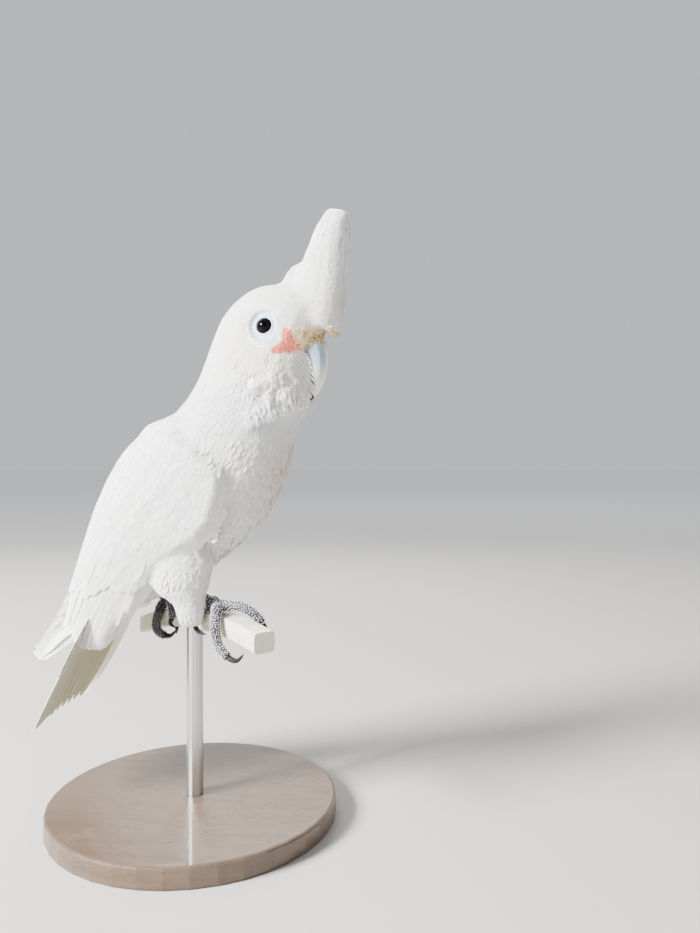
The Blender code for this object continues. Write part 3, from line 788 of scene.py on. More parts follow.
class Form:
    """A closed surface that points and ways are read from."""

    def __init__(self, data: Mesh) -> None:
        """Reads a mesh."""
        self.points = read(data.vertices, "co", 3)
        self.ups = read(data.vertex_normals, "vector", 3)
        data.calc_loop_triangles()
        self.triangles = read(data.loop_triangles, "vertices", 3).astype(int)
        self.tree = BVHTree.FromPolygons(self.points.tolist(), self.triangles.tolist())

    def normals_at(self, places: Array, faces: Array) -> Array:
        """The surface's normals at places on its triangles, evened out between the corners."""
        corners = self.triangles[faces]
        start, first, second = (self.points[corners[:, k]] for k in range(3))
        first, second, place = first - start, second - start, places - start
        one, two, both = ((a * b).sum(axis=1) for a, b in
                          ((first, first), (second, second), (first, second)))
        along, across = (place * first).sum(axis=1), (place * second).sum(axis=1)
        area = np.maximum(one * two - both**2, 1e-30)
        u, v = (two * along - both * across) / area, (one * across - both * along) / area
        shares = np.stack((1.0 - u - v, u, v), axis=1)
        return unit((self.ups[corners] * shares[..., None]).sum(axis=1))

    def nearest(self, places: Array) -> tuple[Array, Array]:
        """The surface's nearest points to places, and its normals there."""
        found = np.empty((len(places), 3))
        faces = np.empty(len(places), int)
        look = self.tree.find_nearest
        for index, place in enumerate(places.tolist()):
            hit, _, face, _ = look(place)
            found[index] = hit
            faces[index] = face
        return found, self.normals_at(found, faces)

    def height(self, places: Array) -> Array:
        """How far places stand out from the surface, below 0 where they are inside."""
        found, normals = self.nearest(places)
        away = places - found
        return np.copysign(np.linalg.norm(away, axis=1), (away * normals).sum(axis=1))

    def seen_from(self, starts: Array, ways: Array) -> tuple[Array, Array, Array]:
        """Where rays first meet the surface.

        Args:
            starts: The rays' starts.
            ways: Their directions.

        Returns:
            The points, the normals there, and whether each ray met the surface.
        """
        found = np.zeros((len(starts), 3))
        faces = np.zeros(len(starts), int)
        met = np.zeros(len(starts), bool)
        for index, (start, way) in enumerate(zip(starts.tolist(), ways.tolist())):
            hit, _, face, _ = self.tree.ray_cast(start, way)
            if hit is not None:
                found[index] = hit
                faces[index] = face
                met[index] = True
        return found, self.normals_at(found, faces), met

    def scatter(self, share: Callable[[Array], Array], rng: Rng,
                density: float) -> Array:
        """Points spread over the surface no closer than their own spacing.

        Args:
            share: Gives each point's spacing, or 0 where no point is wanted.
            rng: Draws the points.
            density: Candidates for each square metre.

        Returns:
            The points that are kept.
        """
        a, b, c = (self.points[self.triangles[:, k]] for k in range(3))
        areas = 0.5 * np.linalg.norm(np.cross(b - a, c - a), axis=1)
        count = int(areas.sum() * density)
        picks = rng.choice(len(areas), size=count, p=areas / areas.sum())
        u, v = np.sqrt(rng.random(count)), rng.random(count)
        places = (
            a[picks] * (1 - u)[:, None] + b[picks] * (u * (1 - v))[:, None]
            + c[picks] * (u * v)[:, None]
        )
        spacing = share(places)
        places, spacing = places[spacing > 0], spacing[spacing > 0]
        tree = KDTree(len(places))
        for index, place in enumerate(places.tolist()):
            tree.insert(place, index)
        tree.balance()
        free = np.ones(len(places), bool)
        kept = []
        for index, place in enumerate(places.tolist()):
            if free[index]:
                kept.append(index)
                for _, other, _ in tree.find_range(place, spacing[index]):
                    free[other] = False
        return places[kept]


# --- feathers


@dataclass(frozen=True)
class Vane:
    """The shape of one kind of feather.

    Attributes:
        steps: Sections from its root to its tip.
        section: The points round a section, as places across and heights.
        peak: Above 1, puts its widest place nearer the tip.
        blunt: Below 1, rounds its ends.
        thickness: Height of its middle at the root.
        cup: How far its sides bend down, as a share of its half width.
        fringe: How far its edge is frayed along its length, as a share of its length.
    """

    steps: int = 5
    section: tuple[tuple[float, float], ...] = ((-1.0, 0.0), (0.0, -0.5), (1.0, 0.0), (0.0, 1.0))
    peak: float = 1.5
    blunt: float = 0.55
    root: float = 0.1
    thickness: float = 0.00016
    cup: float = 0.18
    fringe: float = 0.05

    def stations(self) -> Array:
        """The sections' places along the feather, closer towards the tip."""
        return 1.0 - (1.0 - np.linspace(0.0, 1.0, self.steps)) ** 1.25

    def outline(self) -> Array:
        """The half width at each section, as a share of the widest."""
        wide = np.sin(np.pi * np.clip(self.stations(), 0.0, 0.985) ** self.peak) ** self.blunt
        return np.maximum(wide, self.root * (1.0 - self.stations() * 0.5))

    def template(self) -> tuple[Array, Array]:
        """The feather's vertices, as place across, section and height, and its triangles."""
        mesh = bmesh.new()
        ring = bmesh.ops.create_circle(mesh, segments=len(self.section), radius=1.0)["verts"]
        for vert, (across, height) in zip(ring, self.section):
            vert.co = (across, 0.0, height)
        edges = list(mesh.edges)
        for _ in range(self.steps - 1):
            grown = bmesh.ops.extrude_edge_only(mesh, edges=edges)["geom"]
            fresh = {part for part in grown if isinstance(part, bmesh.types.BMVert)}
            bmesh.ops.translate(mesh, vec=(0.0, 1.0, 0.0), verts=list(fresh))
            edges = [
                part for part in grown
                if isinstance(part, bmesh.types.BMEdge) and fresh.issuperset(part.verts)
            ]
        bmesh.ops.holes_fill(mesh, edges=mesh.edges, sides=0)
        bmesh.ops.triangulate(mesh, faces=mesh.faces)
        bmesh.ops.recalc_face_normals(mesh, faces=mesh.faces)
        return as_template(mesh)


SMALL = Vane()
SOFT = Vane(steps=6, peak=1.3, blunt=0.6, fringe=0.09, cup=0.25)
BODY = Vane(steps=6, peak=1.6, blunt=0.55, thickness=0.00022, cup=0.2, fringe=0.04)
WISP = Vane(steps=6, peak=1.0, blunt=0.9, thickness=0.00016, cup=0.25, fringe=0.1)
BRISTLE = Vane(steps=4, peak=0.9, blunt=0.8, thickness=0.00018, cup=0.1, fringe=0.1)
BROAD_SECTION = ((-1.0, 0.0), (-0.5, -0.15), (0.0, -0.6), (0.5, -0.15), (1.0, 0.0), (0.5, 0.35),
                 (0.0, 1.0), (-0.5, 0.35))
COVERT = Vane(steps=7, section=BROAD_SECTION, peak=1.7, blunt=0.42, root=0.2,
              thickness=0.00028, cup=0.12, fringe=0.012)
PLUME = Vane(steps=12, section=BROAD_SECTION, peak=1.25, blunt=0.38, root=0.35,
             thickness=0.00026, fringe=0.012)
QUILL_SECTION = ((-1.0, 0.0), (-0.5, -0.1), (-0.07, -0.2), (0.0, -0.9), (0.07, -0.2), (0.5, -0.1),
                 (1.0, 0.0), (0.5, 0.3), (0.07, 0.3), (0.0, 1.0), (-0.07, 0.3), (-0.5, 0.3))
TAIL_QUILL = Vane(steps=16, section=QUILL_SECTION, peak=2.6, blunt=0.24, root=0.25,
                  thickness=0.00028, cup=0.05, fringe=0.006)
QUILL = Vane(steps=16, section=QUILL_SECTION, peak=1.9, blunt=0.3, root=0.12,
             thickness=0.00045, cup=0.1, fringe=0.004)


@dataclass(frozen=True)
class Plate:
    """A small domed plate of horn."""

    sides: int = 6
    shoulder: float = 0.74
    height: float = 0.0003
    sink: float = 0.00014

    def template(self) -> tuple[Array, Array]:
        """The plate's vertices, as places in its plane and heights, and its triangles."""
        mesh = bmesh.new()
        bmesh.ops.create_cone(
            mesh, cap_ends=True, segments=self.sides, radius1=1.0, radius2=self.shoulder, depth=1.0)
        top = [face for face in mesh.faces if face.normal.z > 0.5]
        middle = bmesh.ops.poke(mesh, faces=top)["verts"]
        bmesh.ops.translate(mesh, vec=(0.0, 0.0, 0.35), verts=middle)
        bmesh.ops.triangulate(mesh, faces=mesh.faces)
        return as_template(mesh)


class Coat:
    """Feathers or plates of one piece, gathered as arrays and joined as one mesh."""

    def __init__(self, name: str, rng: Rng, softness: float = 0.6) -> None:
        """Starts an empty coat.

        Args:
            name: The piece's name.
            rng: Draws the feathers' small differences.
            softness: How far the shading follows the bird's form, not each feather's own.
        """
        self.name = name
        self.rng = rng
        self.softness = softness
        self.points: list[Array] = []
        self.ups: list[Array] = []
        self.triangles: list[Array] = []
        self.numbers: dict[str, list[Array]] = {"shade": [], "along": [], "under": []}
        self.maps: dict[str, list[Array]] = {"Vane": [], "OFBake": []}
        self.count = 0

    def add(self, points: Array, ups: Array, triangles: Array, along: Array, under: Array,
            sized: Array, baked: Array) -> None:
        """Adds shapes that share one template, each with its own row of vertices."""
        rows, verts = points.shape[:2]
        base = self.count + np.arange(rows)[:, None, None] * verts
        self.points.append(points.reshape(-1, 3))
        self.ups.append(np.broadcast_to(ups, points.shape).reshape(-1, 3))
        self.triangles.append((triangles[None] + base).reshape(-1, 3))
        self.count += rows * verts
        self.numbers["shade"].append(np.repeat(self.rng.random(rows), verts))
        self.numbers["along"].append(np.tile(along, rows))
        self.numbers["under"].append(np.tile(under, rows))
        self.maps["Vane"].append(sized.reshape(-1, 2) / MILLIMETRE)
        self.maps["OFBake"].append(baked.reshape(-1, 2))

    def lay(self, shape: Vane, path: Array, normals: Array, widths: Array, patches: Array,
            rise: Array, hug: Form | None = None, passes: int = 1, roll: float = 3.0,
            free: float = 9.0, shaded: bool = True) -> None:
        """Lays feathers of one shape along their paths.

        Args:
            shape: The feathers' shape.
            path: Their middle lines, as feathers by sections by three.
            normals: The ways that their upper faces look, in the same layout.
            widths: Their greatest widths.
            patches: Each feather's place on the coat's map.
            rise: Their heights over the path, as feathers by sections.
            hug: The form whose roundness their vanes take, where they take one.
            passes: How often the vanes are brought to the form.
            roll: Spread in degrees of their random roll about their quills.
            free: The share of their length past which vanes lie flat all the same.
            shaded: Whether their undersides count as undersides.
        """
        if len(path) == 0:
            return
        tangent = unit(np.gradient(path, axis=1))
        across = unit(np.cross(tangent, normals))
        up = np.cross(across, tangent)
        tilt = np.tan(np.radians(self.rng.normal(0.0, roll, len(path))))[:, None]
        template, triangles = shape.template()
        side, step, lift = template[:, 0], template[:, 1].round().astype(int), template[:, 2]
        stations = shape.stations()
        length = np.linalg.norm(np.diff(path, axis=1), axis=2).sum(axis=1)
        half = 0.5 * widths[:, None] * shape.outline()[step]
        thick = shape.thickness * (1.0 - 0.75 * stations[step])
        fray = self.rng.random((len(path), len(template))) * shape.fringe * length[:, None]
        fray *= np.abs(side) * stations[step] ** 2
        up, ups = up[:, step], normals[:, step]
        base = path[:, step] + across[:, step] * (half * side)[..., None]
        base -= tangent[:, step] * fray[..., None]
        height = rise[:, step] + lift * thick + half * side * tilt
        if hug:
            held = 1.0 - smoothstep(free - 0.15, free + 0.15, stations[step])[None, :, None]
            for _ in range(passes):
                found, fresh = hug.nearest(base.reshape(-1, 3))
                gap = ((found.reshape(base.shape) - base) * up).sum(axis=-1, keepdims=True)
                base = base + up * gap * held
                ups = unit(fresh.reshape(base.shape) * held + up * (1.5 - held))
        else:
            height = height - shape.cup * half * side**2
        sized = np.stack((half * side, stations[step] * length[:, None]), axis=-1)
        local = np.stack((side * 0.5, stations[step] - 0.5), axis=-1) * PATCH
        self.add(base + ups * height[..., None], ups, triangles, stations[step],
                 ((lift < 0) & shaded).astype(float), sized, patches[:, None] + local[None])

    def stud(self, plate: Plate, roots: Array, normals: Array, ways: Array, sizes: Array,
             patches: Array) -> None:
        """Sets plates on a surface.

        Args:
            plate: Their shape.
            roots: Their middles.
            normals: The ways that they look.
            ways: The ways that they are long.
            sizes: Their half lengths and half widths.
            patches: Each plate's place on the coat's map.
        """
        template, triangles = plate.template()
        side = np.cross(normals, ways)
        uneven = self.rng.normal(1.0, 0.07, (len(roots), len(template), 1))
        flat = template[None, :, :2] * sizes[:, None] * uneven
        height = (template[:, 2] + 0.5) * plate.height - plate.sink
        points = (
            roots[:, None] + ways[:, None] * flat[..., :1] + side[:, None] * flat[..., 1:]
            + normals[:, None] * height[None, :, None]
        )
        local = template[None, :, :2] * PATCH / 2
        self.add(points, normals[:, None], triangles, (template[:, 2] > 0).astype(float),
                 (template[:, 2] < 0).astype(float), flat, patches[:, None] + local)

    def corner_normals(self, points: Array, ups: Array, triangles: Array) -> Array:
        """Shading normals: each feather's own, on either face, drawn towards the bird's form."""
        start, first, second = (points[triangles[:, k]] for k in range(3))
        faces = np.cross(first - start, second - start)
        top = ((faces * ups[triangles].sum(axis=1)).sum(axis=1) > 0.0).astype(int)
        sums = np.zeros((2, len(points), 3))
        for k in range(3):
            np.add.at(sums, (top, triangles[:, k]), faces)
        own = unit(sums[top[:, None], triangles])
        formed = ups[triangles] * (2 * top - 1)[:, None, None]
        return unit(own * (1.0 - self.softness) + formed * self.softness)

    def build(self, material: Material) -> bpy.types.Object:
        """Joins the feathers as a piece."""
        points, triangles = np.concatenate(self.points), np.concatenate(self.triangles)
        data = bpy.data.meshes.new(self.name)
        data.vertices.add(len(points))
        data.vertices.foreach_set("co", points.astype(np.float32).ravel())
        data.loops.add(triangles.size)
        data.loops.foreach_set("vertex_index", triangles.astype(np.int32).ravel())
        data.polygons.add(len(triangles))
        data.polygons.foreach_set("loop_start", np.arange(0, triangles.size, 3, dtype=np.int32))
        data.update(calc_edges=True)
        for name, lists in self.numbers.items():
            values = np.concatenate(lists).astype(np.float32)
            if name == "under":
                store(data, name, values[triangles].max(axis=1), "FACE")
            else:
                store(data, name, values)
        for name, lists in self.maps.items():
            layer = data.uv_layers.new(name=name)
            corners = np.concatenate(lists)[triangles.ravel()]
            layer.data.foreach_set("uv", corners.astype(np.float32).ravel())
        piece = add_piece(self.name, data, material)
        corners = self.corner_normals(points, np.concatenate(self.ups), triangles)
        data.normals_split_custom_set(corners.reshape(-1, 3).tolist())
        return piece


# --- the comb


@dataclass(frozen=True)
class Stroke:
    """One stroke of the comb: how the plumage lies near a place of the straight bird.

    Sizes are in millimetres.

    Attributes:
        place: The place's x, its distance from the middle, and its height.
        way: The way that feathers run, with its middle number outwards.
        length: Length of a feather.
        width: Its width.
        depth: Depth of the coat.
        lift: How far tips stand out.
    """

    place: Point
    way: Point
    length: float
    width: float
    depth: float
    lift: float = 0.1


STROKES = tuple(Stroke(*row) for row in (
    # the head
    ((80, 6, 171.5), (0.9, 0, 0.35), 4, 2, 0.3),
    ((89, 4, 176), (0.35, 0, 1), 6, 2.6, 0.35, 0.25),
    ((92, 4, 192), (0.12, 0, 1), 8, 3.4, 0.35, 0.25),
    ((79, 12, 190), (0.15, 0, 1), 8, 3.6, 0.35),
    ((69, 6, 205), (0.1, 0, 1), 6, 3, 0.3),
    ((56, 4, 203), (0.3, 0, 1), 6, 3, 0.3),
    ((63, 3, 212), (0.6, 0, 0.7), 4.5, 2.6, 0.3),
    ((62, 9, 198), (0.1, 0, 1), 6, 3, 0.3),
    ((76, 9, 176), (0.15, 0, 1), 5.5, 2.8, 0.35),
    ((66, 10, 188), (-0.15, 0, 1), 5.5, 3, 0.35),
    ((52, 10, 198), (-0.55, 0, 0.7), 6, 3.2, 0.4),
    ((36, 10, 198), (-1, 0, -0.2), 6, 3, 0.4),
    ((20, 10, 186), (-0.7, 0, -0.75), 6, 3, 0.4),
    ((11, 8, 168), (-0.3, 0, -1), 6.5, 3, 0.45),
    ((58, 18, 184), (-0.7, 0, 0.6), 4.5, 2.2, 0.3),
    ((44, 20, 188), (-0.95, 0, 0.2), 4.8, 2.4, 0.35),
    ((36, 21, 176), (-0.85, 0, -0.5), 5, 2.4, 0.35),
    ((28, 21, 162), (-0.4, 0, -0.9), 5.5, 2.6, 0.4),
    ((48, 21, 158), (-0.25, 0, -1), 4.8, 2.2, 0.35, 0.15),
    ((64, 18, 176), (-0.2, 0, 1), 3.4, 1.8, 0.3),
    ((62, 18, 155), (0.3, 0, -1), 4.2, 2, 0.35, 0.15),
    ((70, 13, 152), (1, 0.1, -0.5), 3.6, 1.7, 0.4, 0.4),
    ((70, 13, 140), (0.8, 0.1, -0.8), 5, 1.7, 0.5, 0.6),
    ((60, 17, 140), (0.2, 0.1, -1), 6.5, 2.2, 0.6, 0.7),
    ((45, 19, 143), (-0.2, 0, -1), 6.5, 2.6, 0.6, 0.4),
    ((68, 3, 136), (0.2, 0, -1), 5.5, 2.2, 0.5, 0.4),
    # the neck
    ((66, 5, 117), (-0.05, 0, -1), 7.5, 3.4, 0.6, 0.15),
    ((48, 18, 112), (-0.2, 0, -1), 8, 3.4, 0.6, 0.1),
    ((36, 24, 128), (-0.15, 0, -1), 8, 3.6, 0.6, 0.1),
    ((16, 30, 110), (-0.3, 0, -1), 9, 4.2, 0.6, 0.05),
    ((3, 10, 146), (-0.4, 0, -1), 8, 3.8, 0.6, 0.1),
    # the trunk
    ((61, 6, 98), (-0.15, 0.1, -1), 7.5, 3.3, 0.8, 1),
    ((40, 28, 92), (-0.3, 0.1, -1), 8, 3.5, 0.8, 0.5),
    ((50, 6, 70), (-0.5, 0.05, -1), 8.5, 3.9, 0.9, 1.4),
    ((28, 10, 48), (-0.85, 0, -0.7), 9, 4.2, 0.9, 1.3),
    ((0, 8, 26), (-0.95, 0, -0.4), 12, 5.6, 0.9, 0.3),
    ((10, 31, 62), (-0.5, 0, -0.9), 11, 5.4, 0.8, 0.2),
    ((-22, 10, 114), (-0.65, 0, -0.75), 13, 7.5, 0.7),
    ((-55, 8, 68), (-0.3, 0, -1), 14, 7.5, 0.7),
    ((-22, 10, 17), (-0.95, 0, -0.25), 11, 5, 0.8, 0.1),
    ((-64, 8, 30), (-0.1, 0, -1), 16, 7.5, 0.8),
    ((-35, 8, 10), (-0.5, 0, -0.9), 17, 7, 0.9),
    # the wings
    ((22, 34, 96), (-0.3, 0, -0.95), 9, 5.2, 0.45),
    ((-4, 36, 100), (-0.5, 0, -0.85), 11, 6.4, 0.5),
    ((20, 37, 68), (-0.4, 0, -0.9), 11, 6.4, 0.5),
    ((-8, 38, 74), (-0.5, 0, -0.85), 14, 8, 0.5),
    ((-34, 34, 74), (-0.5, 0, -0.85), 17, 8.6, 0.5),
    ((-30, 34, 50), (-0.5, 0, -0.85), 19, 9.4, 0.5),
    ((-58, 26, 46), (-0.45, 0, -0.9), 21, 9.4, 0.5),
    # the legs
    ((0, 34, 48), (-0.1, 0, -1), 9, 4.2, 0.6, 0.3),
    ((4, 34, 28), (0.05, 0, -1), 7.5, 3.2, 0.5, 0.4),
    ((6, 30, 10), (0.05, 0, -1), 6, 2.4, 0.4, 0.5),
))


class Comb:
    """Reads the strokes at any place, blended by distance."""

    def __init__(self, strokes: Sequence[Stroke]) -> None:
        """Gathers the strokes as arrays."""
        self.places = np.array([s.place for s in strokes]) / 1000 + (0.0, 0.0, DATUM)
        self.ways = unit(np.array([s.way for s in strokes]))
        self.sizes = np.array([(s.length, s.width, s.depth, s.lift) for s in strokes]) * MILLIMETRE

    def shares(self, straight: Array) -> Array:
        """How much each stroke counts at places of the straight bird."""
        folded = straight * (1.0, 0.0, 1.0) + np.abs(straight) * (0.0, 1.0, 0.0)
        away = np.linalg.norm(folded[:, None] - self.places[None], axis=2)
        shares = 1.0 / (away + 0.002) ** 4
        return shares / shares.sum(axis=1, keepdims=True)

    def read(self, places: Array) -> tuple[Array, Array]:
        """The lie of the plumage.

        Args:
            places: Places of the turned bird.

        Returns:
            The ways that feathers run, and rows of length, width, depth and lift.
        """
        straight = TURN.straight(places)
        shares = self.shares(straight)
        ways = shares @ self.ways
        ways[:, 1] *= np.sign(straight[:, 1])
        return TURN.spin(unit(ways), places[:, 2], 1.0), shares @ self.sizes


COMB = Comb(STROKES)


@dataclass(frozen=True)
class EyePlace:
    """Where an eye sits, and how its bare ring lies round it."""

    side: Side
    x: float = 0.052
    y: float = 0.0155
    height: float = 0.1732
    radius: float = 0.0062
    opening: float = 0.0046
    ring_wide: float = 0.0088
    ring_tall: float = 0.0108
    ring_drop: float = 0.001
    tilt: float = math.radians(6.0)  # how far the eye looks up

    def centre(self) -> Array:
        """The eyeball's centre."""
        return np.array(head_point(self.x, self.side.value * self.y, self.height))

    def axes(self) -> tuple[Array, Array, Array]:
        """Unit vectors forwards, up and outwards at the eye."""
        forward = TURN.spin(np.array((1.0, 0.0, 0.0)), np.array(1.0), 1.0)
        up = np.array((0.0, 0.0, 1.0))
        out = TURN.spin(np.array((0.0, float(self.side.value), 0.0)), np.array(1.0), 1.0)
        cos, sin = math.cos(self.tilt), math.sin(self.tilt)
        return forward, up * cos - out * sin, out * cos + up * sin

    def measure(self, places: Array) -> tuple[Array, Array, Array]:
        """Distances forwards, up and outwards from the eyeball's centre."""
        away = places - self.centre()
        return tuple(away @ axis for axis in self.axes())

    def ring(self, places: Array) -> Array:
        """Distance from the ring's middle, as a share of the ring's size."""
        forward, up, out = self.measure(places)
        up = up + self.ring_drop
        share = np.hypot(forward / self.ring_wide, up / self.ring_tall)
        return np.where(out > -0.004, share, 9.0)


EYES = tuple(EyePlace(side) for side in Side)


@dataclass(frozen=True)
class TailPlace:
    """Where the tail grows from and which way it runs."""

    root: Point = (-0.054, 0.0, 0.016)
    drop: float = math.radians(62.5)
    roll: float = math.radians(8.0)
    yaw: float = math.radians(5.0)
    length: float = 0.091
    root_half: float = 0.016
    tip_half: float = 0.039
    spread: float = 0.4
    arch: float = 0.0045
    fold: float = 0.014  # how far more the left side drops at the root

    def matrix(self) -> Array:
        """Turns the tail's own axes, -X along it and +Z above it, to the model's."""
        turn = (Matrix.Rotation(-self.yaw, 3, "Z") @ Matrix.Rotation(-self.drop, 3, "Y")
                @ Matrix.Rotation(self.roll, 3, "X"))
        return np.array(turn)

    def points(self, along: Array, side: Array, above: Array) -> Array:
        """Points of the fan, from places along it, across it and heights above it."""
        share = along / self.length
        widening = np.maximum(share, 0.0) ** self.spread
        half = self.root_half + (self.tip_half - self.root_half) * widening
        arch = self.arch * side * side * (0.4 + 0.6 * share)
        arch = arch + self.fold * np.maximum(side, 0.0) ** 2 * np.clip(1.0 - share, 0.0, 1.0)
        local = np.stack((-along, half * side, above - arch), axis=-1)
        return local @ self.matrix().T + np.array(at(*self.root))

    def along(self, places: Array) -> Array:
        """How far along the tail places lie."""
        return -((places - np.array(at(*self.root))) @ self.matrix())[..., 0]


TAIL = TailPlace()


def lie(form: Form, roots: Array, shape: Vane, rng: Rng, comb: Comb,
        stray: float = 5.0) -> tuple[Array, Array, Array, Array]:
    """Lays feathers' middle lines over a form, along the comb's ways.

    Args:
        form: The coat's outer form.
        roots: The feathers' roots on the form.
        shape: Their shape, which gives their sections.
        rng: Draws their strays.
        comb: The comb that is followed.
        stray: Spread of their random turn to a side, in degrees.

    Returns:
        Their paths, their normals, their widths, and their heights over their paths.
    """
    stations = shape.stations()
    _, sizes = comb.read(roots)
    vary = rng.normal(1.0, 0.1, len(roots)).clip(0.7, 1.3)
    length, width, depth = sizes[:, 0] * vary, sizes[:, 1] * vary, sizes[:, 2]
    lift = sizes[:, 3] * rng.random(len(roots)) ** 2
    turn = np.radians(rng.normal(0.0, stray, len(roots)))[:, None]
    points, normals = form.nearest(roots)
    path, ups = [points], [normals]
    for before, after in zip(stations, stations[1:]):
        ways, _ = comb.read(points)
        ways = unit(ways - normals * (ways * normals).sum(axis=1, keepdims=True))
        ways = ways * np.cos(turn) + np.cross(normals, ways) * np.sin(turn)
        ahead = points + ways * (length * (after - before))[:, None]
        found, fresh = form.nearest(ahead)
        strayed = np.linalg.norm(found - ahead, axis=1) > 0.55 * length * (after - before)
        points = np.where(strayed[:, None], ahead, found)
        normals = np.where(strayed[:, None], normals, unit(fresh + normals))
        path.append(points)
        ups.append(normals)
    rise = -depth[:, None] * (1.0 - stations) ** 1.2 + lift[:, None] * stations**2
    return np.stack(path, axis=1), np.stack(ups, axis=1), width, rise


SPINE = ((-0.06, 0.0), (-0.05, 0.03), (-0.028, 0.055), (-0.004, 0.078), (0.018, 0.102),
         (0.032, 0.128), (0.042, 0.155), (0.05, 0.18), (0.06, 0.205))


def round_spine(places: Array) -> Array:
    """Each place on an unwrap of the body: its turn round the spine, and how far up it is."""
    straight = TURN.straight(places)
    line = catmull(SPINE, np.linspace(0.0, 1.0, 200))
    side = straight[:, ::2] - (0.0, DATUM)
    nearest = np.linalg.norm(side[:, None] - line[None], axis=2).argmin(axis=1)
    tangent = unit(np.gradient(line, axis=0))[nearest]
    away = side - line[nearest]
    front = away[:, 0] * tangent[:, 1] - away[:, 1] * tangent[:, 0]
    turn = np.arctan2(straight[:, 1], front) / math.tau + 0.5
    return np.stack((turn * 0.98 + 0.01, nearest / 200 * 0.98 + 0.01), axis=1)


def fitted(patches: Array) -> Array:
    """Stretches places on a map to fill it."""
    low, high = patches.min(axis=0), patches.max(axis=0)
    return (patches - low) / np.maximum(high - low, 1e-9) * 0.96 + 0.02


# --- the bird


FLESH = ("trunk", "neck", "head", "leg_left", "leg_right")
FEET = ("foot_left", "foot_right")
WINGS = ("wing_left", "wing_right")
SOLIDS = {node: Form(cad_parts[node].data) for node in (*FLESH, *FEET, *WINGS)}


def gap_to(nodes: Iterable[str], places: Array) -> Array:
    """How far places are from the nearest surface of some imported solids."""
    return np.min([np.abs(SOLIDS[node].height(places)) for node in nodes], axis=0)


def eye_ring(places: Array) -> Array:
    """Distance from the middle of the nearer eye's ring, as a share of the ring's size."""
    return np.minimum(*(eye.ring(places) for eye in EYES))


